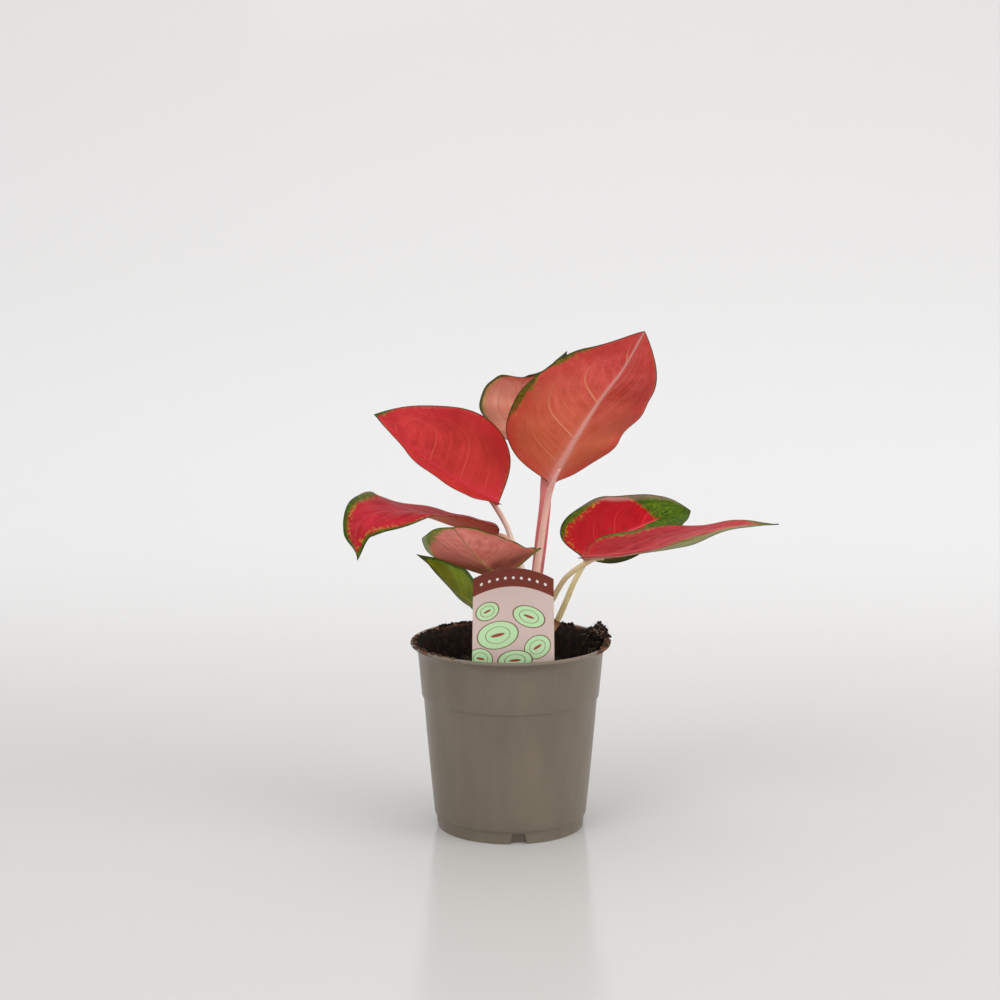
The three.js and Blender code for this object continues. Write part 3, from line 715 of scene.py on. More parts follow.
def make_blade(name, leaf):
    """A blade that is thin at its margin, with the rib standing out below and sunk above."""
    middle, tip, facts = blade_sheet(leaf)
    rows, columns = middle.shape[:2]
    normal = unit(np.cross(np.gradient(middle, axis=0), np.gradient(middle, axis=1)))
    place, out, from_rib = facts["along"], np.abs(facts["across"]), facts["from_rib"]
    thick = blend(*BLADE_THICKNESS, ease((out - 0.5) / 0.5))
    ridge = blend(*RIB_HEIGHT, ease(place * 1.1)) * np.exp(-((from_rib / blend(*RIB_SPREAD, place)) ** 2))
    groove = blend(*GROOVE_DEPTH, place) * np.exp(-((from_rib / GROOVE_SPREAD) ** 2))
    upper = middle + normal * (thick / 2 - groove)[..., None]
    lower = middle - normal * (thick / 2 + ridge)[..., None]
    count = rows * columns
    points = np.vstack([upper.reshape(-1, 3), lower.reshape(-1, 3), tip])
    last = 2 * count
    sheet = grid_faces(rows, columns)
    end = [[(rows - 1) * columns + j, last, (rows - 1) * columns + j + 1] for j in range(columns - 1)]
    top = sheet + end
    bottom = [[c + count if c != last else c for c in reversed(face)] for face in top]
    border = [i * columns for i in range(rows)]
    far_border = [i * columns + columns - 1 for i in range(rows)]
    walls = [[a, a + count, b + count, b] for a, b in zip(border, border[1:])]
    walls += [[b, b + count, a + count, a] for a, b in zip(far_border, far_border[1:])]
    walls += [[j + 1, j + 1 + count, j + count, j] for j in range(columns - 1)]
    walls += [[border[-1], border[-1] + count, last], [far_border[-1] + count, far_border[-1], last]]
    attributes = {}
    for key, grid in facts.items():
        flat = grid.reshape(-1)
        ending = {"along": 1, "green": flat[-1]}.get(key, 0)
        attributes[key] = np.concatenate([flat, flat, [ending]])
    own_upper, own_under = OWN_COLOURS[name]
    paints = [
        leaf_paint(f"{name}_leaf_upper", UPPER | own_upper, True),
        leaf_paint(f"{name}_leaf_under", UNDER | own_under, False),
    ]
    slots = [0] * len(top) + [1] * (len(bottom) + len(walls))
    piece = make_piece(f"leaf_{name}", points, top + bottom + walls, paints, slots, attributes)
    settle(piece, f"blade_{name}")


# Stalks and sheaths

STALK_STEPS = 90
STALK_SIDES = 28
BURIED = 6  # how far along its path a stalk starts
STALK_END = 0.14  # share of the length over which a stalk narrows under its blade
STALK_NARROWING = 0.55
STALK_SWELLING = 0.05
CHANNEL_DEPTH = 0.14  # over the radius
CHANNEL_MIDDLE = 1.7  # radians
CHANNEL_HALF = 0.42
UNDER_RIB = np.array([[4.0, 2.1], [12.0, 1.7]])  # where a stalk ends: along the rib, and below it
STEM_PLACE = (11, 1)
STEM_RADIUS = 5.6
STEM_FOOT = 62
STEM_TOP = 108
STEM_STEPS = 24
STEM_SIDES = 40
SHEATH_STEPS = 30
SHEATH_SIDES = 33
SHEATH_THICKNESS = 0.5
SHEATH_GAP = (0.25, 1.1)  # half the opening in radians, at the foot and at the top
SHEATH_OFF_STALK = (1.35, 0.55)  # at the foot and at the top
SHEATH_FLARE = 0.35

# Colours of a stalk from its sheath to its blade
STALK_COLOURS = {
    "tall": [(228, 186, 158), (238, 194, 178), (232, 182, 172)],
    "tall_back": [(204, 132, 122), (204, 110, 110), (220, 140, 130)],
    "upper_left": [(226, 204, 172), (244, 222, 206), (232, 180, 166)],
    "left": [(214, 186, 152), (224, 182, 160), (200, 124, 110)],
    "front_left": [(214, 190, 150), (220, 184, 156), (206, 146, 124)],
    "low_left": [(180, 170, 110), (166, 162, 96), (130, 142, 66)],
    "right_back": [(214, 192, 128), (232, 216, 162), (236, 220, 178)],
    "right_front": [(222, 196, 140), (234, 214, 166), (240, 216, 178)],
}


def stalk_paint(name, colours):
    """Fleshy stalk with fine lengthwise lines and a few darker flecks."""
    paint = Paint(name)
    along, round_it = paint.attribute("along"), paint.attribute("round_it")
    low, middle, high = (rgb(*c) for c in colours)
    colour = paint.mix(along.ease(0.0, 0.55), low, middle)
    colour = paint.mix(along.ease(0.7, 1.0), colour, high)
    lines = paint.grain(6, paint.point(round_it * 6, along * 2, 0), 4, 0.7)
    flecks = paint.grain(700, detail=1).ease(0.66, 0.74)
    colour = paint.mix(lines.ease(0.35, 0.75) * 0.5, colour, [0.8 * c for c in low[:3]] + [1], "MULTIPLY")
    colour = paint.mix(flecks * 0.25, colour, rgb(120, 80, 60))
    return paint.finish(colour, 0.34 + lines * 0.2, lines + flecks * 0.3, 0.15, Specular_IOR_Level=0.45)


def ring_frame(tangent):
    """Sideways and backward directions of a stalk's cross-section."""
    side = unit(np.cross(tangent, np.broadcast_to([0.0, -1.0, 0.0], tangent.shape)))
    return side, np.cross(tangent, side)


def make_stalk(name, leaf):
    """A round stalk with a channel on its inner side. It runs on under the blade as the rib."""
    rib = Path(leaf["rib"])
    under, tangent = rib.at(UNDER_RIB[:, 0])
    up = eased(leaf["face"], UNDER_RIB[:, 0] / rib.length)
    up = unit(up - tangent * np.sum(up * tangent, -1, keepdims=True))
    ends = under - up * UNDER_RIB[:, 1:]
    path = Path([*leaf["stalk"], *ends.tolist()])
    steps, sides = STALK_STEPS, STALK_SIDES
    distance = np.linspace(BURIED, path.length, steps)
    point, tangent = path.at(distance)
    side, back = ring_frame(tangent)
    share = distance / path.length
    body = blend(leaf["radius"][0], leaf["radius"][1], share)
    at_end = ease((share - 1) / STALK_END + 1)
    taper = 1 - STALK_NARROWING * at_end
    swell = 1 + STALK_SWELLING * np.sin(9 * share + len(name))
    angle = np.arange(sides) / sides * 2 * np.pi
    channel = 1 - CHANNEL_DEPTH * np.exp(-(((angle - CHANNEL_MIDDLE) / CHANNEL_HALF) ** 2))
    radius = (body * taper * swell)[:, None] * channel
    depth = blend(leaf["flat"], 1, ease((share - 0.88) / 0.12))[:, None]
    ring = point[:, None] + side[:, None] * (radius * np.cos(angle))[..., None]
    ring = ring + back[:, None] * (radius * depth * np.sin(angle))[..., None]
    faces = [face[::-1] for face in grid_faces(steps, sides, closed=True)]
    faces += [list(range(sides))[::-1], [(steps - 1) * sides + k for k in range(sides)]]
    attributes = {
        "along": np.repeat(share, sides),
        "round_it": np.tile(np.abs(angle / np.pi - 1), steps),
    }
    paint = stalk_paint(f"{name}_stalk_skin", STALK_COLOURS[name])
    piece = make_piece(f"stem_{name}", ring.reshape(-1, 3), faces, [paint], None, attributes)
    settle(piece, f"stalk_{name}")


def make_sheaths():
    """The short stem, and an open sheath round the foot of each stalk."""
    points, faces, along, round_it = [], [], [], []

    def add(grid, share, closed, flip=False):
        rows, columns = grid.shape[:2]
        start = len(points)
        points.extend(grid.reshape(-1, 3).tolist())
        along.extend(np.repeat(share, columns))
        round_it.extend(np.tile(np.linspace(0, 1, columns), rows))
        made = grid_faces(rows, columns, closed)
        faces.extend([[start + c for c in (face if flip else face[::-1])] for face in made])
        return start, rows, columns

    heights = np.linspace(STEM_FOOT, STEM_TOP, STEM_STEPS)[:, None]
    turn = np.arange(STEM_SIDES) / STEM_SIDES * 2 * np.pi
    radius = STEM_RADIUS + 0.5 * np.sin(heights * 0.9) + 0.2 * np.sin(5 * turn)
    x, y = STEM_PLACE
    stem = [x + radius * np.cos(turn), y + radius * np.sin(turn), np.repeat(heights, STEM_SIDES, 1)]
    start, rows, columns = add(np.stack(stem, -1), np.linspace(0, 0.3, STEM_STEPS), True)
    faces.append([start + k for k in range(columns)][::-1])
    faces.append([start + (rows - 1) * columns + k for k in range(columns)])

    for leaf in LEAVES.values():
        path = Path([*leaf["stalk"], leaf["rib"][0]])
        steps, sides = SHEATH_STEPS, SHEATH_SIDES
        share = np.linspace(0, 1, steps)
        point, tangent = path.at(share * leaf["sheath"])
        side, back = ring_frame(tangent)
        # The opening widens towards the top, where the sheath ends in two low shoulders
        gap = blend(*SHEATH_GAP, ease(share))[:, None]
        s = np.linspace(0, 1, sides)[None, :]
        angle = np.pi / 2 + gap + s * (2 * np.pi - 2 * gap)
        flare = SHEATH_FLARE * np.abs(2 * s - 1) ** 4 * share[:, None]
        radius = leaf["radius"][0] + blend(*SHEATH_OFF_STALK, ease(share))[:, None] + flare
        shell = []
        for inset in (0, SHEATH_THICKNESS * (1 - 0.8 * np.abs(2 * s - 1) ** 6)):
            r = radius - inset
            ring = point[:, None] + side[:, None] * (r * np.cos(angle))[..., None]
            shell.append(ring + back[:, None] * (r * leaf["flat"] * np.sin(angle))[..., None])
        outer, _, _ = add(shell[0], share, False)
        inner, _, _ = add(shell[1], share, False, flip=True)
        loop = list(range(sides))
        loop += [i * sides + sides - 1 for i in range(1, steps)]
        loop += [(steps - 1) * sides + j for j in range(sides - 2, -1, -1)]
        loop += [i * sides for i in range(steps - 2, 0, -1)]
        for a, b in zip(loop, loop[1:] + loop[:1]):
            faces.append([outer + a, outer + b, inner + b, inner + a])
    paint = stalk_paint("sheath_skin", [(150, 112, 70), (196, 160, 110), (150, 96, 66)])
    attributes = {"along": along, "round_it": round_it}
    piece = make_piece("stem_and_sheaths", points, faces, [paint], None, attributes)
    settle(piece, "crown")


# Pot

POT_PROFILE = [
    (0, 0), (25, 0), (25.4, 0.6), (26.2, 6.4), (26.8, 6.8), (42.4, 6.8), (43, 6.2), (43, 0.3), (43.3, 0),
    (43.9, 0), (44.2, 0.3), (44.5, 6.4), (44.8, 7), (45.6, 7.8), (45.9, 8.8), (46.4, 14), (48, 30),
    (50.3, 56), (52.2, 79.2), (52.4, 79.8), (53.1, 80.5), (53.3, 81.2), (53.9, 88), (54.8, 98),
    (55.5, 106), (56, 107.6), (57.6, 110), (59.7, 111.6), (60, 112), (60, 112.5), (59.9, 112.8),
    (59.5, 113), (57.5, 113), (57.1, 112.6), (56.4, 111.2), (55, 108.6), (54.4, 107.2), (52.8, 90),
    (52.1, 81.6), (51.2, 80.2), (45, 10.2), (43.8, 8), (26, 8), (24, 1.2), (0, 1.2),
]
INSIDE_FROM = 33  # the profile's first point inside the rim
POT_SEGMENTS = 192

# Notches in the foot narrow upwards and have a wall behind them
NOTCH_COUNT = 4
NOTCH_TURN = math.radians(6)
NOTCH_FOOT_WIDTH = 10.6
NOTCH_TOP_WIDTH = 7.2
NOTCH_HEIGHT = 6.4
NOTCH_BACK = 40.4
NOTCH_WALL = 1.2
FOOT_MIDDLE = 43.6  # radius inside the foot's wall
PAST_FOOT = 46
DRAIN_COUNT = 6
DRAIN_RADIUS = 3.5
DRAIN_PLACE = 34.5  # from the pot's axis
FLOOR_MIDDLE = 7.4  # height of the middle of the raised floor


def pot_paint():
    """Taupe moulded plastic with faint flow marks and light scuffs, a painted highlight along the rim's top,
    dried soil on the rim, and soil stains inside with painted shade that deepens lower down.
    """
    paint = Paint("taupe_plastic")
    x, y, z = paint.axes()
    inside = paint.attribute("inside")
    flow = paint.grain(3, paint.point(x * 0.02, y * 0.02, z * 0.006), 3)
    fine = paint.grain(900, detail=3)
    smear = paint.grain(26, paint.point(x * 0.001, y * 0.001, z * 0.0004), 4, 0.6)
    colour = paint.mix(flow.ease(0.3, 0.7), rgb(100, 88, 71), rgb(109, 97, 80))
    colour = paint.mix(smear.ease(0.52, 0.8) * 0.2, colour, rgb(124, 112, 96))
    # Painted highlight: the rim's top is painted lighter.
    colour = paint.mix(z.ease(110.6, 111.8) * 0.5, colour, rgb(128, 114, 98))
    scuff = paint.grain(160, paint.point(x * 0.001, y * 0.001, z * 0.004), 3, 0.7).ease(0.66, 0.72)
    colour = paint.mix(scuff * 0.2, colour, rgb(150, 138, 122))
    paint.finish(colour, 0.27 + smear * 0.14, fine * 0.3 + smear, 0.12, Specular_IOR_Level=0.8)

    crust = paint.grain(260, detail=5, roughness=0.7)
    patches = paint.grain(70, detail=5, roughness=0.7)
    # Soil stains inside the pot with painted shade: the dark cover thickens towards the bottom, where the
    # inside lies in shade.
    below_rim = z.ease(94, 112.5, 0.55, 0.2)
    dirt_and_shade = (patches + below_rim).ease(0.42, 0.56) * inside
    left_and_back = x.ease(-58, -34, 0.12, 0) + y.ease(20, 52) * 0.1
    lip = (patches * 0.5 + crust * 0.5 + left_and_back + x.ease(44, 57, 0, 0.3)).ease(0.56, 0.64)
    lip = lip * z.ease(110.5, 112.2)
    # Dark colour of the soil stains, which also paints the shade inside the pot; lighter brown dried soil on
    # the lip.
    stain_and_shade_tone = paint.mix(crust.ease(0.42, 0.68), rgb(18, 13, 11), rgb(50, 33, 26))
    stain_and_shade_tone = paint.mix(z.ease(110.5, 112.8) * crust.ease(0.4, 0.6), stain_and_shade_tone, rgb(122, 84, 64))
    return paint.cover((dirt_and_shade + lip).least(0.96), stain_and_shade_tone, 0.9, 0.15)


def combine(piece, tools, operation):
    """Joins closed shapes to a piece, or cuts them out of it."""
    for tool in tools:
        change = piece.modifiers.new("shape", "BOOLEAN")
        change.operation = operation
        change.solver = "EXACT"
        change.object = tool
    applied(piece)
    for tool in tools:
        bpy.data.objects.remove(tool)


def tool_from(shape, name):
    """An object from a shape in millimetres."""
    bmesh.ops.scale(shape, vec=(MM, MM, MM), verts=shape.verts)
    mesh = bpy.data.meshes.new(name)
    shape.to_mesh(mesh)
    shape.free()
    tool = bpy.data.objects.new(name, mesh)
    bpy.context.collection.objects.link(tool)
    return tool


def notch_wedge(grow, bottom, top, inner, outer, turn):
    """A block with the shape of a notch and "grow" more on each side, from one radius out to another."""
    wedge = bmesh.new()
    bmesh.ops.create_cube(wedge, size=1)
    for vert in wedge.verts:
        z = top if vert.co.z > 0 else bottom
        half = blend(NOTCH_FOOT_WIDTH, NOTCH_TOP_WIDTH, z / NOTCH_HEIGHT) / 2 + grow
        x = math.copysign(half, vert.co.x)
        y = -outer if vert.co.y < 0 else -inner
        vert.co = (x * math.cos(turn) - y * math.sin(turn), x * math.sin(turn) + y * math.cos(turn), z)
    return tool_from(wedge, "notch")


def make_pot():
    points, faces = turned(POT_PROFILE, POT_SEGMENTS)
    inside = []
    for ring, (r, _) in enumerate(POT_PROFILE):
        inside.extend([float(ring >= INSIDE_FROM)] * (1 if r == 0 else POT_SEGMENTS))
    pot = make_piece("pot_shell", points, faces, [pot_paint()], None, {"inside": inside})
    turns = [NOTCH_TURN + i * 2 * math.pi / NOTCH_COUNT for i in range(NOTCH_COUNT)]
    wall_back = NOTCH_BACK - NOTCH_WALL
    wall_top = NOTCH_HEIGHT + NOTCH_WALL
    walls = [notch_wedge(NOTCH_WALL, 0.01, wall_top, wall_back, FOOT_MIDDLE, turn) for turn in turns]
    combine(pot, walls, "UNION")
    tools = [notch_wedge(0, -NOTCH_WALL, NOTCH_HEIGHT, NOTCH_BACK, PAST_FOOT, turn) for turn in turns]
    for i in range(DRAIN_COUNT):
        turn = i * 2 * math.pi / DRAIN_COUNT
        middle = (DRAIN_PLACE * math.cos(turn), DRAIN_PLACE * math.sin(turn), FLOOR_MIDDLE)
        sizes = {"segments": 32, "radius1": DRAIN_RADIUS, "radius2": DRAIN_RADIUS, "depth": 5}
        drain = bmesh.new()
        bmesh.ops.create_cone(drain, cap_ends=True, **sizes)
        bmesh.ops.translate(drain, vec=middle, verts=drain.verts)
        tools.append(tool_from(drain, "drain"))
    combine(pot, tools, "DIFFERENCE")
    pot.data.polygons.foreach_set("use_smooth", [True] * len(pot.data.polygons))
    pot.data.set_sharp_from_angle(angle=math.radians(38))
    settle(pot, "pot")


# Soil, crumbs and roots

SOIL_EDGE = 91  # height where the soil meets the pot
SOIL_RISE = 7  # how far its middle stands above that
SOIL_REACH = 52.6  # radius at which its mound and lumps end
SOIL_RADIUS = 52.75
SOIL_LUMPS = ((9, 1.1), (4, 0.9), (1.8, 0.55), (0.9, 0.3))  # their sizes and heights
SOIL_RINGS = 64
SOIL_SEGMENTS = 200

# Below its surface the soil has the pot's inner shape: radius and height, from the middle of its underside
SOIL_BELOW = [(0, 1.6), (23.5, 1.6), (25.7, 8.4), (43.4, 8.4), (44.6, 10.6), (50.6, 79.8), (51.7, 81.2)]

CLUMP_MIDDLE = (52.6, 11, 113)
CLUMP_SIZE = (6.6, 7.5, 6.8)
RIM_TOP = 113.3  # lowest height of what lies on the rim
RIM_LIP = 111  # what starts above this height lies on the rim, and the rest inside the pot
INNER_WALL = (100, 107.3, 111.6, RIM_TOP), (53.2, 54, 56.2, 57.3)  # heights, and the reach of soil there
HAIR_POINTS = 12
HAIR_SIDES = 4
HAIR_BEND = 0.006  # metres


def soil_height(x, y):
    """The solid's mound and lumps, with finer lumps on it."""
    out = min(math.hypot(x, y) / SOIL_REACH, 1)
    lumps = math.sin(x * 0.31 + 1.7) * math.cos(y * 0.27) + 0.6 * math.sin(x * 0.17 - y * 0.43)
    fine = sum(height * noise.noise(Vector((x / size, y / size, size))) for size, height in SOIL_LUMPS)
    mound = SOIL_EDGE + SOIL_RISE * (1 - out * out)
    return mound + 1.3 * lumps * (1 - out**6) + fine * (1 - out**12)


def soil_paint(name, dark, light):
    """Peat with lighter fibres and a few pale grains."""
    paint = Paint(name)
    clods = paint.grain(260, detail=5, roughness=0.7)
    fibres = paint.grain(160, paint.point(paint.grain(40) * 0.03, clods * 0.01, 0), 4)
    colour = paint.mix(clods.ease(0.35, 0.7), rgb(*dark), rgb(*light))
    colour = paint.mix(fibres.ease(0.55, 0.75) * 0.25, colour, rgb(84, 64, 46))
    grains = paint.cells(420).ease(0.1, 0.16, 1, 0) * paint.grain(60).ease(0.55, 0.7)
    colour = paint.mix(grains * 0.5, colour, rgb(120, 104, 84))
    return paint.finish(colour, 0.72 + clods * 0.25, clods + grains * 0.3, 0.9, Specular_IOR_Level=0.3)


def make_soil(paint):
    """The soil's surface, closed below by the pot's inner shape."""
    surface = [(SOIL_RADIUS * ring / SOIL_RINGS, SOIL_EDGE) for ring in range(SOIL_RINGS, -1, -1)]
    points, faces = turned(SOIL_BELOW + surface, SOIL_SEGMENTS)
    points = [(x, y, soil_height(x, y) if z == SOIL_EDGE else z) for x, y, z in points]
    settle(make_piece("peat_soil", points, faces, [paint]), "soil")


class Recipe(Bench):
    """A Geometry Nodes tree with named inputs, worked on a mesh and taken off as a plain piece."""

    def __init__(self, name, *sizes):
        tree = bpy.data.node_groups.new(name, "GeometryNodeTree")
        super().__init__(tree)
        tree.interface.new_socket("Base", in_out="INPUT", socket_type="NodeSocketGeometry")
        self.keys = {}
        kinds = {"Seed": "NodeSocketInt", "Finish": "NodeSocketMaterial"}
        for title in ("Density", *sizes, "Seed", "Finish"):
            kind = kinds.get(title, "NodeSocketFloat")
            self.keys[title] = tree.interface.new_socket(title, in_out="INPUT", socket_type=kind).identifier
        tree.interface.new_socket("Made", in_out="OUTPUT", socket_type="NodeSocketGeometry")
        self.inlet = self.node("NodeGroupInput")
        self.outlet = self.node("NodeGroupOutput")

    def input(self, title):
        return self.inlet.outputs[title]

    def scatter(self):
        """Points spread over the base mesh."""
        sockets = {"Mesh": self.input("Base"), "Density": self.input("Density"), "Seed": self.input("Seed")}
        return self.node("GeometryNodeDistributePointsOnFaces", None, sockets)

    def random(self, low, high, seed=None):
        """A random number for each point, or a random vector where the limits are vectors."""
        settings = {"data_type": "FLOAT_VECTOR" if isinstance(high, tuple) else "FLOAT"}
        sockets = {"Min": low, "Max": high, "Seed": seed or self.input("Seed")}
        node = self.node("FunctionNodeRandomValue", settings, sockets)
        return next(output for output in node.outputs if output.enabled)

    def centred(self, noise_node):
        """Random vectors about zero."""
        sockets = {0: noise_node.outputs["Color"], 1: (0.5, 0.5, 0.5)}
        return self.node("ShaderNodeVectorMath", {"operation": "SUBTRACT"}, sockets).outputs[0]

    def scaled(self, vector, factor):
        sockets = {0: vector, "Scale": factor}
        return self.node("ShaderNodeVectorMath", {"operation": "SCALE"}, sockets).outputs[0]

    def shifted(self, geometry, offset):
        sockets = {"Geometry": geometry, "Offset": offset}
        return self.node("GeometryNodeSetPosition", None, sockets).outputs[0]

    def placed(self, points, instance, rotation, scale):
        sockets = {"Points": points, "Instance": instance, "Rotation": rotation, "Scale": scale}
        return self.node("GeometryNodeInstanceOnPoints", None, sockets).outputs[0]

    def real(self, instances):
        return self.node("GeometryNodeRealizeInstances", None, {0: instances}).outputs[0]

    def close(self, geometry):
        """Ends the tree with real geometry and its material."""
        sockets = {"Geometry": self.real(geometry), "Material": self.input("Finish")}
        painted = self.node("GeometryNodeSetMaterial", None, sockets)
        self.feed(self.outlet.inputs[0], painted.outputs[0])

    def make(self, name, base_mesh, **values):
        carrier = bpy.data.objects.new(name, base_mesh.copy())
        bpy.context.collection.objects.link(carrier)
        change = carrier.modifiers.new(name, "NODES")
        change.node_group = self.tree
        for title, value in values.items():
            change[self.keys[title]] = value
        return applied(carrier)


def crumb_recipe():
    """Scatters lumps of random size and turn over a surface."""
    recipe = Recipe("crumbs", "Smallest", "Largest")
    spread = recipe.scatter()
    ball = recipe.node("GeometryNodeMeshIcoSphere", None, {"Radius": 1.0, "Subdivisions": 2})
    wobble = recipe.node("ShaderNodeTexNoise", None, {"Scale": 1.3, "Detail": 1.0})
    lump = recipe.shifted(ball.outputs["Mesh"], recipe.centred(wobble))
    turn = recipe.random((0.0, 0.0, 0.0), (6.3, 6.3, 6.3))
    size = recipe.random(recipe.input("Smallest"), recipe.input("Largest"))
    squash = recipe.random((0.5, 0.6, 0.4), (1.3, 1.1, 0.9), seed=7)
    lumps = recipe.placed(spread.outputs["Points"], lump, turn, recipe.scaled(squash, size))
    recipe.close(lumps)
    return recipe


def hair_recipe():
    """Fine bent root hairs that stand out from a surface."""
    recipe = Recipe("root_hairs", "Length", "Thickness")
    spread = recipe.scatter()
    ends = {"Start": (0.0, 0.0, -0.2), "End": (0.0, 0.0, 1.0)}
    line = recipe.node("GeometryNodeCurvePrimitiveLine", None, ends)
    fine = recipe.node("GeometryNodeResampleCurve", None, {"Curve": line.outputs[0], "Count": HAIR_POINTS})
    sockets = {0: recipe.random(0.3, 1.0), 1: recipe.input("Length")}
    length = recipe.node("ShaderNodeMath", {"operation": "MULTIPLY"}, sockets)
    tilt = recipe.random((-1.0, -1.0, -3.0), (1.0, 1.0, 3.0))
    sockets = {"Rotation": spread.outputs["Rotation"], "Rotate By": tilt}
    leaned = recipe.node("FunctionNodeRotateRotation", None, sockets)
    hairs = recipe.placed(spread.outputs["Points"], fine.outputs[0], leaned.outputs[0], length.outputs[0])
    bend = recipe.node("ShaderNodeTexNoise", None, {"Scale": 260.0, "Detail": 1.0})
    bent = recipe.shifted(recipe.real(hairs), recipe.scaled(recipe.centred(bend), HAIR_BEND))
    sockets = {"Resolution": HAIR_SIDES, "Radius": recipe.input("Thickness")}
    ring = recipe.node("GeometryNodeCurvePrimitiveCircle", None, sockets)
    sockets = {"Curve": bent, "Profile Curve": ring.outputs[0], "Fill Caps": True}
    recipe.close(recipe.node("GeometryNodeCurveToMesh", None, sockets).outputs[0])
    return recipe


def root_paint():
    paint = Paint("dry_root")
    tint = paint.grain(300, detail=2)
    colour = paint.mix(tint.ease(0.35, 0.65), rgb(150, 120, 84), rgb(214, 196, 164))
    return paint.finish(colour, 0.7 + tint * 0.1)


def patch_mesh(centres):
    """Small flat faces where crumbs may lie: (x, y, z, size) in millimetres."""
    mesh = bpy.data.meshes.new("patches")
    points, faces = [], []
    for x, y, z, size in centres:
        start = len(points)
        points += [(x + size * a, y + size * b, z) for a, b in ((-1, -1), (1, -1), (1, 1), (-1, 1))]
        faces.append([start, start + 1, start + 2, start + 3])
    mesh.from_pydata((np.array(points) * MM).tolist(), [], faces)
    return mesh


def make_clump(paint, hair):
    """Roots and soil that stick to the rim on the right."""
    ball = bmesh.new()
    bmesh.ops.create_icosphere(ball, subdivisions=5, radius=1)
    for vert in ball.verts:
        p = vert.co
        lump = math.sin(5 * p.x + 1) * math.sin(6 * p.y) + math.sin(7 * p.z + 2 * p.x)
        p *= 1 + 0.16 * lump + 0.13 * noise.noise(p * 4) + 0.09 * noise.noise(p * 11)
        p = Vector([a * size + middle for a, size, middle in zip(p, CLUMP_SIZE, CLUMP_MIDDLE)])
        wall = float(np.interp(p.z, *INNER_WALL))
        out = math.hypot(p.x, p.y)
        if p.z < RIM_TOP and out > wall:
            if p.z > RIM_LIP:
                p.z = RIM_TOP
            else:
                p.x, p.y = p.x * wall / out, p.y * wall / out
        vert.co = p * MM
    mesh = bpy.data.meshes.new("rim_roots")
    ball.to_mesh(mesh)
    ball.free()
    mesh.materials.append(paint)
    mesh.polygons.foreach_set("use_smooth", [True] * len(mesh.polygons))
    clump = bpy.data.objects.new("rim_roots", mesh)
    bpy.context.collection.objects.link(clump)
    settle(clump, "rim_clump")
    crumbs = crumb_recipe().make(
        "clump_crumbs", mesh, Density=700000.0, Smallest=0.0003, Largest=0.0010, Seed=4, Finish=paint
    )
    settle(crumbs, slot="rim_clump")
    hairs = hair_recipe().make(
        "clump_hairs", mesh, Density=60000.0, Length=0.0065, Thickness=0.00008, Seed=9, Finish=hair
    )
    settle(hairs, slot="rim_clump")


# Tag

TAG_MIDDLE = 1.4
TAG_HALF = 23.2
TAG_SHOULDER = 160.2  # height of the arch's ends
TAG_RISE = 6.3
TAG_FRONT = -47.2
TAG_BACK = -46.4
BAND_WIDTH = 10.7
DOT_SPACING = 4.6
DOT_RADIUS = 0.85
DOTS_BELOW_ARCH = 5.6
DOTS_REACH = 20.6

# The stake: half widths and heights, from the card down
TAG_STAKE = [(23.9, 108), (8, 90), (8, 68)]
TAG_POINT = 52

# Pebbles printed on the tag: middle, half length, half width and turn
TAG_PEBBLES = (
    (-15, 141, 7, 5, 0.5), (9, 138, 9.5, 6, -0.35), (-9, 127, 12, 8, 0.25), (14, 120, 8, 6.5, 0.6),
    (-19, 113, 7, 6, -0.2), (1, 112, 10, 6, 0.1),
)


def tag_paint():
    """Glossy printed card: a brown band with a row of dots under the arch, and pebbles below it."""
    paint = Paint("printed_card")
    x, y, z = paint.axes()
    x = x - TAG_MIDDLE
    below_arch = TAG_SHOULDER + TAG_RISE - (x / TAG_HALF) ** 2.0 * TAG_RISE - z
    fibre = paint.grain(1400, detail=2)
    ink_lines = rgb(104, 62, 46)
    body = paint.mix(fibre * 0.4, rgb(202, 180, 171), rgb(208, 187, 178))

    def oval(cx, cz, long, short, turn):
        """Distance from an oval's outline, in about millimetres, below zero inside it."""
        u = (x - cx) * math.cos(turn) + (z - cz) * math.sin(turn)
        w = (z - cz) * math.cos(turn) - (x - cx) * math.sin(turn)
        return (((u / long) ** 2.0 + (w / short) ** 2.0) ** 0.5 - 1) * short

    # Pale green pebbles that overlap, each with a thin outline, a ring and a short stroke
    colour = body
    for cx, cz, long, short, turn in TAG_PEBBLES:
        edge = oval(cx, cz, long, short, turn)
        colour = paint.mix(edge.ease(-0.1, 0.1, 1, 0), colour, rgb(184, 218, 168))
        colour = paint.mix(abs(edge).ease(0.18, 0.34, 1, 0) * 0.9, colour, ink_lines)
        colour = paint.mix(abs(edge + short * 0.4).ease(0.1, 0.24, 1, 0) * 0.75, colour, ink_lines)
        stroke = oval(cx, cz, long * 0.35, short * 0.12, turn)
        colour = paint.mix(stroke.ease(-0.1, 0.1, 1, 0), colour, rgb(150, 66, 50))
    band = below_arch.ease(BAND_WIDTH - 0.1, BAND_WIDTH + 0.1, 1, 0)
    colour = paint.mix(band, colour, rgb(112, 42, 27))
    from_dot = (x.near(DOT_SPACING) ** 2.0 + (below_arch - DOTS_BELOW_ARCH) ** 2.0) ** 0.5
    dots = from_dot.ease(DOT_RADIUS - 0.1, DOT_RADIUS + 0.1, 1, 0)
    dots = dots * abs(x).ease(DOTS_REACH - 0.1, DOTS_REACH + 0.1, 1, 0)
    colour = paint.mix(dots, colour, rgb(226, 214, 206))
    front = y.ease(TAG_FRONT + 0.2, TAG_FRONT + 0.4, 1, 0)
    colour = paint.mix(front, rgb(214, 208, 202), colour)
    return paint.finish(colour, 0.26 + fibre * 0.06, fibre, 0.02, Specular_IOR_Level=0.35)


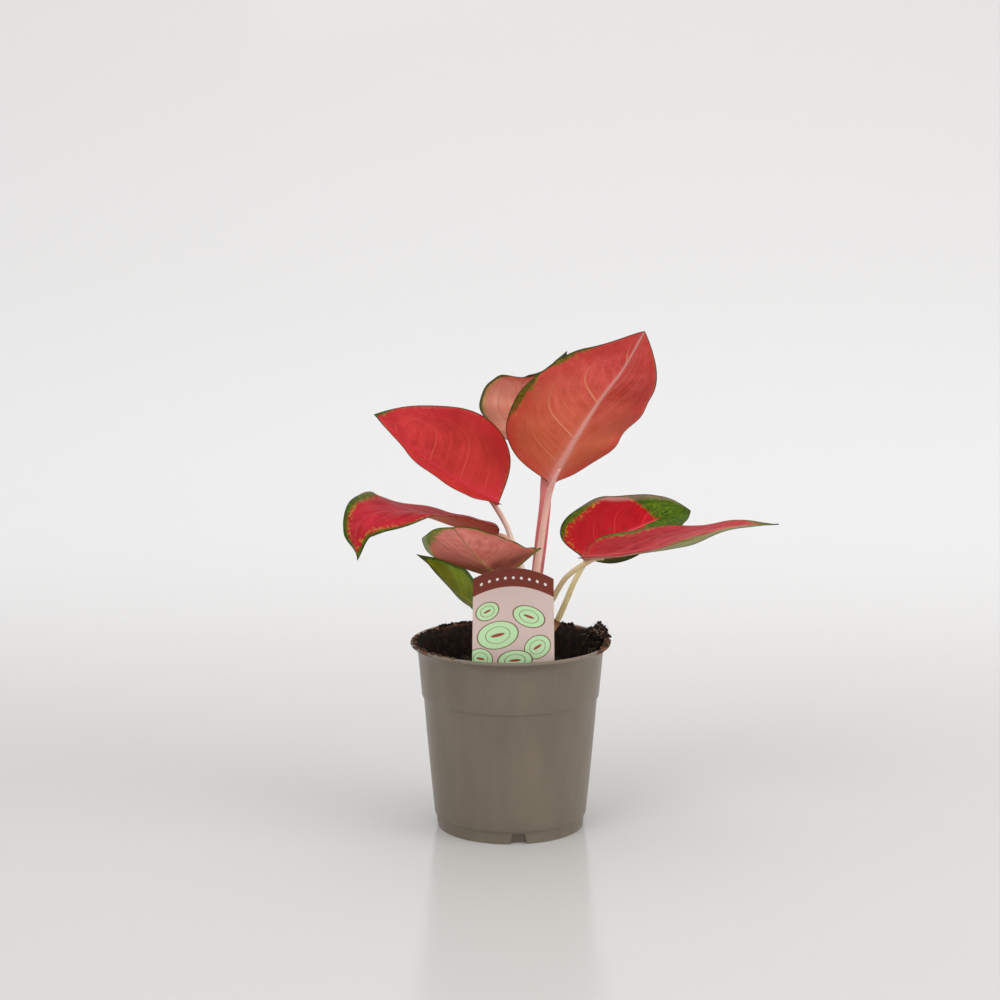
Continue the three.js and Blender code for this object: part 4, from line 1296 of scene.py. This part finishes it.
def make_tag():
    """A thin card with an arched top and a pointed stake, its edges slightly rounded."""
    arch = [(TAG_HALF * s, TAG_SHOULDER + TAG_RISE * (1 - s * s)) for s in np.linspace(1, -1, 33)]
    left_side = [(-half, z) for half, z in TAG_STAKE]
    shape = [(0, TAG_POINT), *TAG_STAKE[::-1], *arch, *left_side]
    count = len(shape)
    points = [(TAG_MIDDLE + x, y, z) for y in (TAG_FRONT, TAG_BACK) for x, z in shape]
    faces = [list(range(count)), list(range(count, 2 * count))[::-1]]
    faces += [[(k + 1) % count, k, count + k, count + (k + 1) % count] for k in range(count)]
    tag = make_piece("plant_tag", points, faces, [tag_paint()], smooth=False)
    soften = tag.modifiers.new("soft_edges", "BEVEL")
    soften.width = 0.15 * MM
    soften.segments = 2
    soften.limit_method = "ANGLE"
    soften.angle_limit = math.radians(50)
    applied(tag)
    settle(tag, "tag")


# Making everything

SOIL_SPOTS = 150
SPOTS_REACH = 50
SPOT_SIZE = 2.4

for leaf_name, leaf_shape in LEAVES.items():
    make_blade(leaf_name, leaf_shape)
    make_stalk(leaf_name, leaf_shape)
make_sheaths()
make_pot()
peat = soil_paint("damp_peat", (15, 11, 9), (54, 38, 29))
dry_peat = soil_paint("dry_peat", (40, 26, 19), (124, 92, 70))
dry_root = root_paint()
make_soil(peat)
make_clump(peat, dry_root)
make_tag()

draw = random.Random(5)
spots = []
for _ in range(SOIL_SPOTS):
    turn, out = draw.uniform(0, 2 * math.pi), SPOTS_REACH * math.sqrt(draw.uniform(0, 1))
    spot = out * math.cos(turn), out * math.sin(turn)
    spots.append((*spot, soil_height(*spot), SPOT_SIZE))
soil_crumbs = {"Density": 260000.0, "Smallest": 0.0005, "Largest": 0.0019, "Seed": 3, "Finish": peat}
settle(crumb_recipe().make("soil_crumbs", patch_mesh(spots), **soil_crumbs), slot="soil")

# Soil left on the rim, damp or dry: (from, to) in degrees round the pot, radius, height, crumbs and half
# size of a patch
RIM_SOIL = {
    "rim_crumbs": (peat, (
        (112, 140, 58, 113.2, 26, 1.1), (48, 56, 57.5, 113.4, 8, 1.3), (190, 238, 57.2, 112.9, 22, 0.8),
        (150, 196, 57.2, 112.9, 20, 0.9),
    )),
    "dry_rim_crumbs": (dry_peat, (
        (168, 236, 57.9, 113, 50, 0.9), (340, 366, 58.2, 113, 54, 0.9),
    )),
}
for name, (finish, places) in RIM_SOIL.items():
    spots = []
    for start, end, radius, height, count, size in places:
        for _ in range(count):
            turn, out = math.radians(draw.uniform(start, end)), radius + draw.uniform(-1.2, 0.8)
            z = height + draw.uniform(-0.3, 0.4)
            spots.append((out * math.cos(turn), out * math.sin(turn), z, size))
    rim_crumbs = {"Density": 900000.0, "Smallest": 0.0003, "Largest": 0.0009, "Seed": 8, "Finish": finish}
    settle(crumb_recipe().make(name, patch_mesh(spots), **rim_crumbs), slot="soil")


# Stage and light, in metres

FLOOR_REACH = 5.0
SWEEP_START = 0.5
SWEEP_RADIUS = 1.3
SWEEP_TOP = 4.0

floor_paint = Paint("studio_floor")
away = floor_paint.axes()[1]
# Painted light: the floor is darker in front and under the plant, lighter behind it, and a little less light
# again on the far sweep.
floor_colour = floor_paint.mix(away.ease(100, 800), rgb(200, 198, 195), rgb(228, 227, 226))
floor_colour = floor_paint.mix(away.ease(900, 1600), floor_colour, rgb(221, 219, 217))
floor_paint.finish(floor_colour, 0.15 + floor_paint.grain(2) * 0.02, Specular_IOR_Level=0.5)
sweep = [(-FLOOR_REACH, 0.0), (SWEEP_START, 0.0)]
for bend in np.linspace(0.05, math.pi / 2, 28):
    sweep.append((SWEEP_START + SWEEP_RADIUS * math.sin(bend), SWEEP_RADIUS * (1 - math.cos(bend))))
sweep.append((SWEEP_START + SWEEP_RADIUS, SWEEP_TOP))
floor_points = [(x / MM, y / MM, z / MM) for y, z in sweep for x in (-FLOOR_REACH, FLOOR_REACH)]
floor_faces = [[2 * k, 2 * k + 1, 2 * k + 3, 2 * k + 2] for k in range(len(sweep) - 1)]
floor = make_piece("floor", floor_points, floor_faces, [floor_paint.material])

world = bpy.data.worlds.new("studio")
world.use_nodes = True
background = world.node_tree.nodes["Background"]
background.inputs["Color"].default_value = rgb(240, 241, 243)
background.inputs["Strength"].default_value = 0.98
bpy.context.scene.world = world


def soft_light(name, place, target, size, power):
    data = bpy.data.lights.new(name, "AREA")
    data.shape = "SQUARE"
    data.size = size
    data.energy = power
    light = bpy.data.objects.new(name, data)
    light.location = place
    light.rotation_euler = (Vector(target) - Vector(place)).to_track_quat("-Z", "Y").to_euler()
    bpy.context.collection.objects.link(light)
    return light


soft_light("key", (-1.1, -1.5, 1.7), (0, 0, 0.12), 1.2, 17)
fill = soft_light("fill", (1.5, -0.7, 0.9), (0, 0, 0.15), 1.2, 14)
fill.visible_glossy = False
soft_light("top", (0.1, 0.4, 1.9), (0, 0, 0.15), 1.4, 5)

bpy.context.scene.view_settings.view_transform = "Standard"
